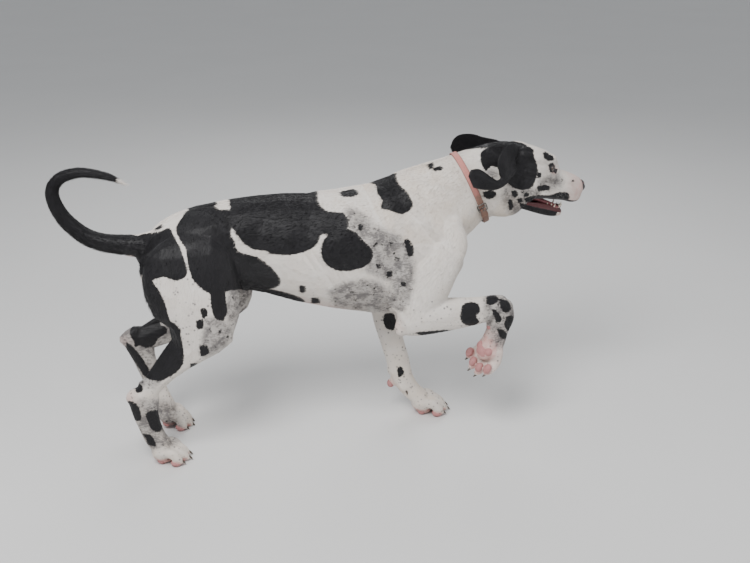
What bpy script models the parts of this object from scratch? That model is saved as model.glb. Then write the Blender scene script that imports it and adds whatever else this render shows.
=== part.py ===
"""A life-size great dane in a low walk: right forepaw raised, head turned a little left, tail curled up.

The dog faces +X, its left side is +Y, and the floor is z = 0. The body is modelled whole, as lofts and
muscle forms along the skeleton, fused and smoothed. Thin cuts then part it into the pieces that a person
would name.
"""

import math

import bmesh
import bpy
import numpy as np
from mathutils import Matrix, Vector
from mathutils.bvhtree import BVHTree

# Driving sizes, in metres
WITHERS = 0.697            # height of the shoulder top in this low stride
DRAWN_WITHERS = 0.697      # the same height in the tables below, which are scaled to the first
SHIFT = Vector((-0.0945, 0.0039, 0.0))   # brings the middle of the whole dog over the origin
GAP = 0.0003               # width of the thin cuts, and the clearance round pieces that are set in
VOXEL = 0.0025             # grid on which the whole body is fused
SLIVER = 0.000005          # points closer than this are one
SIDES = 40                 # points round each section of a loft
TRIANGLES = 9400           # of the whole fused body, before the cuts
STRAP_WIDTH = 0.016
STRAP_THICKNESS = 0.003
STRAP_CLEAR = 0.0008       # between the strap and the coat
STRAP_STEPS = 56           # flats round the strap
BUCKLE_THICKNESS = 0.003
BUCKLE_LENGTH = 0.021      # along the strap
EAR_TRIANGLES = 380
NOSE_TRIANGLES = 240
TONGUE_TRIANGLES = 240
TEETH_TRIANGLES = 480

# Where the head sits: the stop, midway between the eyes, and how the head is turned
STOP = Vector((0.658, 0.031, 0.692))
HEAD_YAW = math.radians(13.6)
HEAD_DOWN = math.radians(19.1)
HEAD_ROLL = math.radians(-2)
EYE_RADIUS = 0.0122
EYE_AT = Vector((-0.0155, 0.0335, 0.0005))
GAZE = math.radians(50)    # how far each eye looks outwards from straight ahead

RIGHT, LEFT = -1, 1
UP = Vector((0, 0, 1))
ACROSS = Vector((0, 1, 0))


def clear_scene():
    for obj in list(bpy.data.objects):
        bpy.data.objects.remove(obj, do_unlink=True)


def mesh_object(name, bm, collection):
    """A new object from a bmesh, with its faces turned outwards."""
    bmesh.ops.recalc_face_normals(bm, faces=bm.faces)
    mesh = bpy.data.meshes.new(name)
    bm.to_mesh(mesh)
    bm.free()
    obj = bpy.data.objects.new(name, mesh)
    collection.objects.link(obj)
    return obj


def catmull(points, steps):
    """Rows of numbers along a smooth curve through the given rows."""
    p = np.array(points, float)
    p = np.vstack([2 * p[0] - p[1], p, 2 * p[-1] - p[-2]])
    rows = []
    for i in range(1, len(p) - 2):
        for t in np.linspace(0, 1, steps, endpoint=False):
            a = 2 * p[i]
            b = (p[i + 1] - p[i - 1]) * t
            c = (2 * p[i - 1] - 5 * p[i] + 4 * p[i + 1] - p[i + 2]) * t**2
            d = (-p[i - 1] + 3 * p[i] - 3 * p[i + 1] + p[i + 2]) * t**3
            rows.append((a + b + c + d) / 2)
    rows.append(p[-2])
    return np.array(rows)


def section(centre, along, side, up, down, power, across, cup=0.0, sides=SIDES):
    """One closed section: half width side, and separate heights above and below its centre."""
    s = (across - across.dot(along) * along).normalized()
    u = along.cross(s)
    ring = []
    for k in range(sides):
        a = 2 * math.pi * k / sides
        c, v = math.cos(a), math.sin(a)
        w = side * math.copysign(abs(c) ** (2 / power), c)
        h = (up if v > 0 else down) * math.copysign(abs(v) ** (2 / power), v)
        bend = cup * (h / (up if v > 0 else down)) ** 2
        ring.append(centre + s * (w + bend) + u * h)
    return ring


def add_loft(bm, stations, across=ACROSS, power=2.0, steps=5, cap=0.6, cup=0.0, sides=SIDES):
    """Adds a closed loft along stations (x, y, z, side, up, down). Each round end stands out by cap."""
    rows = catmull(stations, steps)
    centres = [Vector(r[:3]) for r in rows]
    tangents = []
    for i in range(len(rows)):
        a = centres[max(i - 1, 0)]
        b = centres[min(i + 1, len(rows) - 1)]
        tangents.append((b - a).normalized())
    rings = []
    for quarter in (0.25, 0.6, 0.88):
        shrink, out = quarter, math.sqrt(1 - quarter**2)
        r = rows[0]
        reach = cap * min(r[3], (r[4] + r[5]) / 2)
        rings.append(section(centres[0] - tangents[0] * reach * out, tangents[0],
                             *(r[3:6] * shrink), power, across, cup, sides))
    for r, c, t in zip(rows, centres, tangents):
        rings.append(section(c, t, *r[3:6], power, across, cup, sides))
    for quarter in (0.88, 0.6, 0.25):
        shrink, out = quarter, math.sqrt(1 - quarter**2)
        r = rows[-1]
        reach = cap * min(r[3], (r[4] + r[5]) / 2)
        rings.append(section(centres[-1] + tangents[-1] * reach * out, tangents[-1],
                             *(r[3:6] * shrink), power, across, cup, sides))
    verts = [[bm.verts.new(p) for p in ring] for ring in rings]
    for a, b in zip(verts, verts[1:]):
        for k in range(sides):
            j = (k + 1) % sides
            bm.faces.new((a[k], a[j], b[j], b[k]))
    bm.faces.new(verts[0][::-1])
    bm.faces.new(verts[-1])


def add_spindle(bm, a, b, wide, thick, across=ACROSS, overrun=0.15):
    """Adds a long ellipsoid from a to b: thick is its half size across, wide its half size the other way."""
    a, b = Vector(a), Vector(b)
    along = (b - a).normalized()
    s = (across - across.dot(along) * along).normalized()
    u = along.cross(s)
    half = (b - a).length * (0.5 + overrun)
    turn = Matrix((along, s, u)).transposed().to_4x4()
    place = Matrix.Translation((a + b) / 2) @ turn @ Matrix.Diagonal((half, thick, wide, 1))
    bmesh.ops.create_uvsphere(bm, u_segments=20, v_segments=12, radius=1, matrix=place)


def add_blob(bm, centre, radii):
    place = Matrix.Translation(Vector(centre)) @ Matrix.Diagonal((*radii, 1))
    bmesh.ops.create_uvsphere(bm, u_segments=20, v_segments=12, radius=1, matrix=place)


# The trunk: x, top, bottom, height of the widest level, half width
TRUNK = [
    (-0.372, 0.554, 0.500, 0.530, 0.030),
    (-0.345, 0.578, 0.478, 0.530, 0.060),
    (-0.300, 0.612, 0.455, 0.538, 0.086),
    (-0.240, 0.638, 0.438, 0.548, 0.095),
    (-0.170, 0.651, 0.427, 0.548, 0.094),
    (-0.100, 0.660, 0.421, 0.546, 0.096),
    (-0.040, 0.665, 0.408, 0.536, 0.104),
    (0.030, 0.665, 0.383, 0.516, 0.116),
    (0.100, 0.666, 0.362, 0.508, 0.126),
    (0.170, 0.674, 0.347, 0.505, 0.128),
    (0.230, 0.690, 0.335, 0.502, 0.121),
    (0.290, 0.698, 0.340, 0.505, 0.109),
    (0.340, 0.700, 0.366, 0.510, 0.093),
    (0.370, 0.676, 0.412, 0.520, 0.072),
    (0.390, 0.630, 0.470, 0.535, 0.048),
]

# The neck, from the shoulders to behind the jaw: x, y, z, side, up, down
NECK = [
    (0.262, 0.000, 0.560, 0.096, 0.116, 0.110),
    (0.305, 0.000, 0.583, 0.097, 0.126, 0.122),
    (0.345, 0.000, 0.603, 0.092, 0.122, 0.113),
    (0.390, 0.000, 0.629, 0.082, 0.109, 0.108),
    (0.440, 0.000, 0.656, 0.072, 0.094, 0.095),
    (0.490, 0.004, 0.672, 0.065, 0.091, 0.096),
    (0.535, 0.010, 0.681, 0.062, 0.088, 0.096),
    (0.575, 0.018, 0.682, 0.058, 0.078, 0.086),
]

# The tail's centreline and radius, from the croup to the tip
TAIL = [
    (-0.315, 0.000, 0.558, 0.042),
    (-0.360, 0.000, 0.550, 0.032),
    (-0.415, 0.002, 0.556, 0.0255),
    (-0.462, 0.005, 0.564, 0.0225),
    (-0.502, 0.009, 0.582, 0.0210),
    (-0.541, 0.013, 0.620, 0.0192),
    (-0.562, 0.015, 0.662, 0.0175),
    (-0.565, 0.015, 0.697, 0.0160),
    (-0.546, 0.013, 0.724, 0.0148),
    (-0.514, 0.011, 0.736, 0.0136),
    (-0.482, 0.009, 0.737, 0.0122),
    (-0.432, 0.004, 0.726, 0.0098),
    (-0.396, 0.000, 0.708, 0.0055),
]

# Each limb segment is a list of stations: x, y, z, side, front (or up), back (or down)
FORE_RIGHT = {
    "arm": [
        (0.382, -0.084, 0.590, 0.026, 0.022, 0.034),
        (0.389, -0.092, 0.545, 0.036, 0.032, 0.050),
        (0.368, -0.100, 0.500, 0.040, 0.036, 0.060),
        (0.330, -0.106, 0.440, 0.040, 0.050, 0.062),
        (0.292, -0.110, 0.385, 0.038, 0.052, 0.048),
        (0.276, -0.112, 0.355, 0.034, 0.040, 0.040),
    ],
    "forearm": [
        (0.268, -0.112, 0.352, 0.034, 0.046, 0.042),
        (0.305, -0.114, 0.358, 0.039, 0.048, 0.046),
        (0.350, -0.114, 0.362, 0.037, 0.044, 0.046),
        (0.400, -0.112, 0.364, 0.032, 0.040, 0.043),
        (0.450, -0.108, 0.365, 0.027, 0.035, 0.038),
        (0.490, -0.104, 0.367, 0.026, 0.034, 0.034),
        (0.514, -0.102, 0.364, 0.027, 0.034, 0.030),
    ],
    "pastern": [
        (0.514, -0.101, 0.372, 0.027, 0.030, 0.028),
        (0.512, -0.100, 0.340, 0.028, 0.037, 0.032),
        (0.505, -0.099, 0.306, 0.026, 0.032, 0.026),
        (0.498, -0.099, 0.276, 0.029, 0.031, 0.028),
        (0.488, -0.100, 0.250, 0.032, 0.030, 0.030),
    ],
}
FORE_LEFT = {
    "arm": [
        (0.340, 0.082, 0.580, 0.026, 0.022, 0.034),
        (0.342, 0.090, 0.530, 0.036, 0.032, 0.050),
        (0.322, 0.097, 0.480, 0.039, 0.036, 0.060),
        (0.288, 0.100, 0.430, 0.038, 0.048, 0.060),
        (0.262, 0.098, 0.385, 0.036, 0.048, 0.046),
        (0.248, 0.096, 0.350, 0.034, 0.040, 0.044),
    ],
    "forearm": [
        (0.246, 0.096, 0.360, 0.034, 0.040, 0.046),
        (0.246, 0.090, 0.315, 0.036, 0.040, 0.040),
        (0.252, 0.082, 0.265, 0.033, 0.037, 0.036),
        (0.264, 0.072, 0.210, 0.028, 0.033, 0.032),
        (0.276, 0.062, 0.160, 0.027, 0.034, 0.030),
        (0.281, 0.056, 0.128, 0.027, 0.034, 0.032),
    ],
    "pastern": [
        (0.282, 0.056, 0.135, 0.026, 0.032, 0.030),
        (0.292, 0.052, 0.102, 0.026, 0.030, 0.028),
        (0.312, 0.048, 0.070, 0.026, 0.027, 0.024),
        (0.338, 0.044, 0.044, 0.032, 0.026, 0.024),
    ],
}
HIND_RIGHT = {
    "thigh": [
        (-0.252, -0.056, 0.585, 0.030, 0.060, 0.066),
        (-0.250, -0.070, 0.560, 0.046, 0.086, 0.104),
        (-0.250, -0.080, 0.520, 0.052, 0.098, 0.121),
        (-0.250, -0.088, 0.480, 0.053, 0.104, 0.122),
        (-0.245, -0.095, 0.440, 0.050, 0.104, 0.116),
        (-0.240, -0.100, 0.400, 0.045, 0.094, 0.106),
        (-0.245, -0.102, 0.362, 0.040, 0.082, 0.083),
        (-0.258, -0.103, 0.330, 0.034, 0.068, 0.063),
    ],
    "gaskin": [
        (-0.205, -0.104, 0.370, 0.040, 0.058, 0.075),
        (-0.245, -0.102, 0.332, 0.036, 0.050, 0.058),
        (-0.285, -0.099, 0.296, 0.030, 0.036, 0.043),
        (-0.320, -0.096, 0.263, 0.025, 0.027, 0.032),
        (-0.352, -0.094, 0.232, 0.022, 0.024, 0.029),
        (-0.382, -0.092, 0.204, 0.022, 0.027, 0.032),
    ],
    "pastern": [
        (-0.396, -0.092, 0.202, 0.022, 0.036, 0.034),
        (-0.395, -0.092, 0.180, 0.022, 0.042, 0.036),
        (-0.391, -0.092, 0.145, 0.020, 0.032, 0.034),
        (-0.384, -0.091, 0.108, 0.019, 0.028, 0.030),
        (-0.374, -0.090, 0.070, 0.021, 0.028, 0.028),
        (-0.360, -0.090, 0.044, 0.027, 0.027, 0.026),
    ],
}
HIND_LEFT = {
    "thigh": [
        (-0.240, 0.056, 0.585, 0.030, 0.060, 0.070),
        (-0.235, 0.070, 0.560, 0.046, 0.090, 0.112),
        (-0.230, 0.080, 0.520, 0.052, 0.104, 0.130),
        (-0.220, 0.088, 0.480, 0.053, 0.112, 0.134),
        (-0.212, 0.095, 0.440, 0.050, 0.114, 0.128),
        (-0.202, 0.100, 0.400, 0.045, 0.108, 0.112),
        (-0.196, 0.101, 0.362, 0.040, 0.092, 0.090),
        (-0.202, 0.101, 0.332, 0.034, 0.072, 0.066),
    ],
    "gaskin": [
        (-0.165, 0.101, 0.352, 0.040, 0.050, 0.066),
        (-0.222, 0.099, 0.326, 0.036, 0.044, 0.054),
        (-0.282, 0.095, 0.300, 0.029, 0.036, 0.042),
        (-0.340, 0.090, 0.279, 0.024, 0.036, 0.031),
        (-0.385, 0.087, 0.271, 0.022, 0.036, 0.028),
        (-0.416, 0.085, 0.268, 0.021, 0.030, 0.026),
    ],
    "pastern": [
        (-0.428, 0.085, 0.284, 0.020, 0.030, 0.022),
        (-0.414, 0.085, 0.258, 0.021, 0.042, 0.032),
        (-0.398, 0.085, 0.214, 0.020, 0.033, 0.030),
        (-0.384, 0.085, 0.163, 0.018, 0.025, 0.027),
        (-0.368, 0.085, 0.108, 0.020, 0.026, 0.026),
        (-0.350, 0.085, 0.058, 0.026, 0.026, 0.025),
    ],
}

# Paws: the knuckle's centre, the way the toes point, and the way their tops face
PAWS = {
    "fore_right": ((0.488, -0.100, 0.248), (-0.42, 0.10, -0.90), (0.80, 0.50, -0.30), 1.0),
    "fore_left": ((0.345, 0.044, 0.0325), (1.0, 0.02, -0.10), (0.10, 0.0, 1.0), 1.0),
    "hind_right": ((-0.358, -0.090, 0.0310), (1.0, -0.02, -0.10), (0.10, 0.0, 1.0), 0.94),
    "hind_left": ((-0.345, 0.085, 0.0370), (0.96, 0.02, -0.28), (0.28, 0.0, 0.96), 0.94),
}
# Each toe in the paw's own axes: sideways place, reach, and sideways spread at the tip
TOES = [(-0.030, 0.050, -0.006), (-0.0105, 0.068, -0.002), (0.0105, 0.068, 0.002), (0.030, 0.050, 0.006)]
TOE_RADIUS = 0.0125


def paw_axes(name):
    """The matrix that carries a paw's own axes, toes along x and tops along z, to the body's."""
    origin, forward, top, size = PAWS[name]
    x = Vector(forward).normalized()
    z = (Vector(top) - Vector(top).dot(x) * x).normalized()
    y = z.cross(x)
    turn = Matrix((x, y, z)).transposed().to_4x4()
    return Matrix.Translation(Vector(origin)) @ turn @ Matrix.Diagonal((size, size, size, 1))


def add_toe(bm, y, reach, spread):
    """Adds one arched toe along x, with its knuckle raised and its pad below."""
    r = TOE_RADIUS
    stations = [
        (-0.015, y * 0.8, 0.004, r, r * 1.0, r * 1.1),
        (reach * 0.30, y + spread * 0.3, 0.009, r * 1.02, r * 1.1, r * 1.2),
        (reach * 0.60, y + spread * 0.6, 0.004, r * 1.05, r * 1.1, r * 1.3),
        (reach * 0.86, y + spread, -0.009, r * 0.98, r * 0.95, r * 1.0),
        (reach * 1.0, y + spread, -0.016, r * 0.66, r * 0.60, r * 0.75),
    ]
    add_loft(bm, stations, steps=4, cap=0.8)
    add_blob(bm, (reach * 0.72, y + spread, -0.018), (r * 1.15, r * 0.88, r * 0.75))


def add_paw(bm, name):
    """Adds the toes, their pads and the large pad behind them, in place."""
    part = bmesh.new()
    for y, reach, spread in TOES:
        add_toe(part, y, reach, spread)
    add_blob(part, (-0.002, 0, -0.002), (0.030, 0.037, 0.026))
    add_blob(part, (0.010, 0, -0.020), (0.020, 0.024, 0.014))
    add_blob(part, (0.002, 0.014, -0.021), (0.014, 0.012, 0.012))
    add_blob(part, (0.002, -0.014, -0.021), (0.014, 0.012, 0.012))
    bmesh.ops.transform(part, matrix=paw_axes(name), verts=part.verts)
    mesh = bpy.data.meshes.new("paw")
    part.to_mesh(mesh)
    part.free()
    bm.from_mesh(mesh)
    bpy.data.meshes.remove(mesh)


def add_trunk(bm):
    stations = [(x, 0, mid, half, top - mid, mid - low) for x, top, low, mid, half in TRUNK]
    add_loft(bm, stations, power=2.15, steps=6, cap=0.5)
    add_loft(bm, NECK, power=2.1, steps=6, cap=0.3)
    add_loft(bm, [(x, y, z, r, r, r) for x, y, z, r in TAIL], steps=5, cap=0.9)


def add_trunk_muscles(bm, side):
    """The muscles that shape the shoulder, chest, loin and croup on one side."""
    s = side
    reach = 0.378 if side == RIGHT else 0.348
    add_spindle(bm, (0.262, s * 0.040, 0.655), (reach, s * 0.086, 0.545), 0.046, 0.038)
    add_spindle(bm, (0.235, s * 0.060, 0.630), (0.330, s * 0.090, 0.500), 0.050, 0.036)
    add_spindle(bm, (0.340, s * 0.058, 0.635), (reach, s * 0.070, 0.540), 0.040, 0.034)
    add_spindle(bm, (0.358, s * 0.022, 0.545), (0.322, s * 0.055, 0.440), 0.038, 0.042)
    add_spindle(bm, (-0.150, s * 0.056, 0.596), (-0.310, s * 0.050, 0.552), 0.046, 0.040)
    add_spindle(bm, (-0.345, s * 0.042, 0.540), (-0.340, s * 0.060, 0.470), 0.036, 0.034)


def add_foreleg(bm, leg, side):
    s = side
    add_loft(bm, leg["arm"], power=2.1)
    add_loft(bm, leg["forearm"], power=2.1)
    add_loft(bm, leg["pastern"], power=2.3)
    elbow = Vector(leg["forearm"][0][:3])
    shoulder = Vector(leg["arm"][0][:3])
    triceps_top = (0.235, s * 0.078, 0.560)
    add_spindle(bm, triceps_top, elbow + Vector((-0.010, 0, 0.035)), 0.050, 0.034)
    biceps = shoulder + Vector((-0.010, 0, -0.030)), elbow + Vector((0.050, 0, 0.050))
    add_spindle(bm, *biceps, 0.034, 0.036)


def add_elbow_and_wrist(bm):
    """The bony points of both forelegs: elbow, wrist pad and the small inner claw's toe."""
    add_blob(bm, (0.252, -0.112, 0.334), (0.018, 0.018, 0.026))
    add_blob(bm, (0.222, 0.098, 0.372), (0.022, 0.018, 0.026))
    add_blob(bm, (0.486, -0.104, 0.322), (0.013, 0.011, 0.014))
    add_blob(bm, (0.262, 0.058, 0.092), (0.013, 0.011, 0.014))
    add_spindle(bm, (0.512, -0.078, 0.322), (0.502, -0.074, 0.292), 0.010, 0.008)
    add_spindle(bm, (0.280, 0.030, 0.100), (0.294, 0.026, 0.078), 0.010, 0.008)


def add_hindleg(bm, leg, side):
    s = side
    add_loft(bm, leg["thigh"], power=2.2)
    add_loft(bm, leg["gaskin"], power=2.1)
    add_loft(bm, leg["pastern"], power=2.3)
    hock = Vector(leg["pastern"][1][:3])
    heel = Vector(leg["gaskin"][-1][:3])
    calf = Vector(leg["gaskin"][1][:3])
    add_blob(bm, hock + Vector((-0.030, 0, 0.008)), (0.013, 0.013, 0.017))
    calf_back = (calf[0] - 0.045, s * 0.100, calf[2] + 0.035)
    add_spindle(bm, calf_back, heel + Vector((-0.016, 0, 0.004)), 0.010, 0.010)
    knee = leg["thigh"][4]
    knee_front = (knee[0] + knee[4] - 0.040, s * 0.100, knee[2] - 0.020)
    add_spindle(bm, (-0.200, s * 0.085, 0.560), knee_front, 0.048, 0.036)


# The skull and muzzle along the head's own x: x, centre height, half width, up, down
HEAD_CORE = [
    (-0.150, 0.004, 0.024, 0.026, 0.030),
    (-0.128, -0.004, 0.042, 0.041, 0.055),
    (-0.100, -0.010, 0.054, 0.052, 0.066),
    (-0.070, -0.014, 0.058, 0.057, 0.070),
    (-0.040, -0.016, 0.054, 0.058, 0.064),
    (-0.016, -0.020, 0.046, 0.056, 0.050),
    (0.004, -0.026, 0.039, 0.048, 0.040),
    (0.020, -0.031, 0.035, 0.039, 0.033),
    (0.040, -0.033, 0.034, 0.036, 0.030),
    (0.065, -0.033, 0.033, 0.035, 0.029),
    (0.090, -0.034, 0.031, 0.033, 0.026),
    (0.108, -0.036, 0.028, 0.029, 0.022),
    (0.119, -0.036, 0.022, 0.021, 0.019),
]
# The right upper lip, from front to back: x, y, z, half thickness, up, down
LIP = [
    (0.116, 0.008, -0.050, 0.010, 0.014, 0.010),
    (0.106, 0.020, -0.050, 0.010, 0.018, 0.015),
    (0.085, 0.029, -0.050, 0.009, 0.022, 0.020),
    (0.055, 0.034, -0.050, 0.009, 0.022, 0.021),
    (0.020, 0.039, -0.054, 0.009, 0.022, 0.020),
    (-0.015, 0.042, -0.058, 0.009, 0.022, 0.018),
    (-0.042, 0.043, -0.066, 0.010, 0.022, 0.016),
]
# The lower jaw and the throat behind it, along the head's own x
JAW = [
    (-0.060, -0.100, 0.038, 0.014, 0.020),
    (-0.020, -0.107, 0.034, 0.011, 0.015),
    (0.020, -0.110, 0.030, 0.010, 0.013),
    (0.050, -0.109, 0.026, 0.010, 0.013),
    (0.072, -0.105, 0.021, 0.010, 0.012),
    (0.081, -0.101, 0.014, 0.009, 0.010),
]
THROAT = [
    (-0.150, -0.095, 0.050, 0.060, 0.062),
    (-0.120, -0.093, 0.053, 0.060, 0.064),
    (-0.090, -0.088, 0.053, 0.058, 0.063),
    (-0.066, -0.082, 0.050, 0.050, 0.052),
    (-0.048, -0.080, 0.044, 0.042, 0.038),
]
# Each ear is a cupped leaf: x, y, z, half thickness, front or lower half, back or upper half.
# The right one hangs and its tip is flung back; the left one is thrown back over the nape.
EAR_RIGHT = [
    (-0.126, -0.038, 0.012, 0.0054, 0.020, 0.022),
    (-0.148, -0.061, 0.006, 0.0041, 0.026, 0.033),
    (-0.163, -0.074, -0.012, 0.0036, 0.031, 0.034),
    (-0.164, -0.080, -0.036, 0.0034, 0.024, 0.024),
    (-0.165, -0.082, -0.056, 0.0034, 0.014, 0.014),
    (-0.180, -0.083, -0.070, 0.0033, 0.013, 0.013),
    (-0.204, -0.083, -0.072, 0.0032, 0.018, 0.018),
    (-0.228, -0.082, -0.070, 0.0032, 0.0225, 0.0235),
    (-0.248, -0.080, -0.067, 0.0031, 0.0240, 0.0240),
    (-0.264, -0.077, -0.065, 0.0030, 0.015, 0.015),
]
EAR_LEFT = [
    (-0.118, 0.038, 0.012, 0.0054, 0.022, 0.018),
    (-0.132, 0.064, 0.008, 0.0040, 0.024, 0.023),
    (-0.157, 0.090, -0.002, 0.0034, 0.028, 0.030),
    (-0.184, 0.098, -0.010, 0.0033, 0.031, 0.036),
    (-0.200, 0.104, -0.020, 0.0032, 0.030, 0.038),
    (-0.213, 0.107, -0.036, 0.0030, 0.021, 0.024),
]
EAR_CUP = 0.005            # how far the edges of an ear curl towards the head


def head_matrix():
    """Carries the head's own axes, x to the nose and z up, to the body's."""
    turn = Matrix.Rotation(HEAD_YAW, 4, "Z") @ Matrix.Rotation(HEAD_DOWN, 4, "Y")
    return Matrix.Translation(STOP) @ turn @ Matrix.Rotation(HEAD_ROLL, 4, "X")


def on_midline(rows):
    return [(x, 0, z, side, up, down) for x, z, side, up, down in rows]


def add_skull(bm):
    add_loft(bm, on_midline(HEAD_CORE), power=2.5, cap=0.3)
    add_loft(bm, on_midline(THROAT), power=2.2, cap=0.3)
    for s in (RIGHT, LEFT):
        add_blob(bm, (-0.018, s * 0.029, 0.023), (0.018, 0.016, 0.013))
        add_blob(bm, (-0.072, s * 0.030, 0.014), (0.052, 0.030, 0.029))
        add_blob(bm, (-0.066, s * 0.040, -0.058), (0.042, 0.022, 0.044))
        add_spindle(bm, (0.012, s * 0.032, -0.020), (-0.086, s * 0.052, -0.022), 0.013, 0.012)
        add_blob(bm, EYE_AT * Vector((1, s, 1)), [EYE_RADIUS + 0.0030] * 3)


def add_lips(bm):
    for s in (RIGHT, LEFT):
        add_loft(bm, [(x, s * y, z, t, up, down) for x, y, z, t, up, down in LIP], cap=0.8)


def add_jaw(bm):
    add_loft(bm, on_midline(JAW), power=2.6, cap=0.5)
    for s in (RIGHT, LEFT):
        add_spindle(bm, (-0.045, s * 0.036, -0.100), (0.068, s * 0.017, -0.098), 0.010, 0.006, overrun=0.02)


def add_ears(bm):
    add_loft(bm, EAR_RIGHT, power=3.2, steps=6, cap=0.9, cup=EAR_CUP)
    add_loft(bm, EAR_LEFT, power=3.2, steps=6, cap=0.9, cup=-EAR_CUP)


def add_head(bm):
    head = bmesh.new()
    add_skull(head)
    add_lips(head)
    add_jaw(head)
    add_ears(head)
    bmesh.ops.transform(head, matrix=head_matrix(), verts=head.verts)
    mesh = bpy.data.meshes.new("head")
    head.to_mesh(mesh)
    head.free()
    bm.from_mesh(mesh)
    bpy.data.meshes.remove(mesh)


def body_form():
    bm = bmesh.new()
    add_trunk(bm)
    for side in (RIGHT, LEFT):
        add_trunk_muscles(bm, side)
    add_foreleg(bm, FORE_RIGHT, RIGHT)
    add_foreleg(bm, FORE_LEFT, LEFT)
    add_elbow_and_wrist(bm)
    add_hindleg(bm, HIND_RIGHT, RIGHT)
    add_hindleg(bm, HIND_LEFT, LEFT)
    for name in PAWS:
        add_paw(bm, name)
    add_head(bm)
    return bm


def bake(obj):
    """Replaces the object's mesh with the result of its modifiers."""
    graph = bpy.context.evaluated_depsgraph_get()
    mesh = bpy.data.meshes.new_from_object(obj.evaluated_get(graph))
    old = obj.data
    obj.modifiers.clear()
    obj.data = mesh
    bpy.data.meshes.remove(old)


def vertex_array(obj):
    flat = np.empty(len(obj.data.vertices) * 3)
    obj.data.vertices.foreach_get("co", flat)
    return flat.reshape(-1, 3)


def weigh(obj, name, weights, levels=8):
    """A vertex group with the given weights, in a few even steps."""
    group = obj.vertex_groups.new(name=name)
    step = np.rint(np.clip(weights, 0, 1) * levels).astype(int)
    for level in range(1, levels + 1):
        group.add(np.flatnonzero(step == level).tolist(), level / levels, "REPLACE")


def fineness(points):
    """How much detail each place needs: 1 on the head and paws, falling to 0 on the trunk."""
    to_head = head_matrix().inverted()
    local = points @ np.array(to_head.to_3x3()).T + np.array(to_head.translation)
    fine = np.clip((local[:, 0] + 0.30) / 0.12, 0, 1)
    for name in PAWS:
        away = np.linalg.norm(points - np.array(paw_axes(name).translation), axis=1)
        fine = np.maximum(fine, np.clip((0.20 - away) / 0.10, 0, 1))
    tail = np.clip((-0.40 - points[:, 0]) / 0.04, 0, 1) * np.clip((points[:, 2] - 0.48) / 0.04, 0, 1)
    return np.maximum(fine, tail)


def fuse(obj):
    """Joins the overlapping forms into one surface, softens it, and thins its triangles out."""
    remesh = obj.modifiers.new("Fuse", "REMESH")
    remesh.mode = "VOXEL"
    remesh.voxel_size = VOXEL
    bake(obj)
    fine = fineness(vertex_array(obj))
    weigh(obj, "smooth", 1 - 0.8 * fine)
    weigh(obj, "thin_out", 1 - 0.14 * fine, 50)
    for name, factor, times, group in (("Soften", 0.5, 5, ""), ("Round", 0.5, 45, "smooth")):
        smooth = obj.modifiers.new(name, "SMOOTH")
        smooth.factor = factor
        smooth.iterations = times
        smooth.vertex_group = group
    bake(obj)
    thin_out(obj, TRIANGLES, "thin_out")


def pinched(mesh):
    """Whether any edge has more or fewer than two faces."""
    bm = bmesh.new()
    bm.from_mesh(mesh)
    found = any(len(e.link_faces) != 2 for e in bm.edges)
    bm.free()
    return found


def thin_out(obj, triangles, group=""):
    """Collapses a mesh to about so many triangles, a few fewer where the first tries pinch it."""
    decimate = obj.modifiers.new("Thin out", "DECIMATE")
    decimate.vertex_group = group
    decimate.vertex_group_factor = 1.0
    whole = triangles / (2 * len(obj.data.polygons))
    for attempt in range(8):
        decimate.ratio = min(1, whole * (1 - 0.015 * attempt))
        graph = bpy.context.evaluated_depsgraph_get()
        mesh = bpy.data.meshes.new_from_object(obj.evaluated_get(graph))
        if not pinched(mesh):
            break
        bpy.data.meshes.remove(mesh)
    bake(obj)
    mend(obj)


# Thin cuts, each a place, the way its plane faces, and its half sizes across and along the limb
HEAD_CUT = ((-0.125, 0.012, -0.065), (0.93, -0.05, 0.36), 0.072, 0.130)
JAW_CUT = ((-0.047, 0.0, -0.115), (0.904, 0.0, -0.428), 0.075, 0.040)
EAR_CUTS = {
    "ear_right": ((-0.146, -0.0620, 0.003), (0.0, -1.0, 0.0), 0.045, 0.050),
    "ear_left": ((-0.146, 0.0760, 0.003), (0.0, 1.0, 0.0), 0.045, 0.050),
}
BODY_CUTS = {
    "neck": ((0.390, 0.0, 0.620), (0.906, 0.0, 0.423), 0.150, 0.150),
    "tail root": ((-0.394, 0.0, 0.5535), (-1.0, 0.0, 0.10), 0.050, 0.045),
    "tail's first third": ((-0.541, 0.013, 0.620), (-0.45, 0.0, 0.89), 0.040, 0.035),
    "tail's second third": ((-0.546, 0.013, 0.724), (0.62, 0.0, 0.78), 0.030, 0.030),
    "right elbow": ((0.308, -0.1185, 0.358), (-0.648, 0.0, 0.761), 0.0465, 0.095),
    "right wrist": ((0.465, -0.107, 0.3675), (1.0, 0.0, 0.0), 0.050, 0.044),
    "left elbow": ((0.246, 0.100, 0.336), (0.0, 0.0, 1.0), 0.055, 0.060),
    "left wrist": ((0.281, 0.056, 0.140), (-0.20, 0.0, 0.98), 0.045, 0.045),
    "right thigh": ((-0.245, -0.092, 0.450), (0.0, -0.50, -0.866), 0.170, 0.072),
    "right knee": ((-0.258, -0.100, 0.329), (-0.184, 0.0, -0.983), 0.055, 0.085),
    "right hock": ((-0.365, -0.093, 0.222), (-0.75, 0.0, -0.66), 0.045, 0.055),
    "left thigh": ((-0.215, 0.092, 0.450), (0.0, 0.50, -0.866), 0.175, 0.072),
    "left knee": ((-0.212, 0.100, 0.326), (-0.30, 0.0, -0.954), 0.055, 0.092),
    "left hock": ((-0.372, 0.0875, 0.273), (-0.99, 0.0, -0.14), 0.045, 0.050),
}
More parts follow.
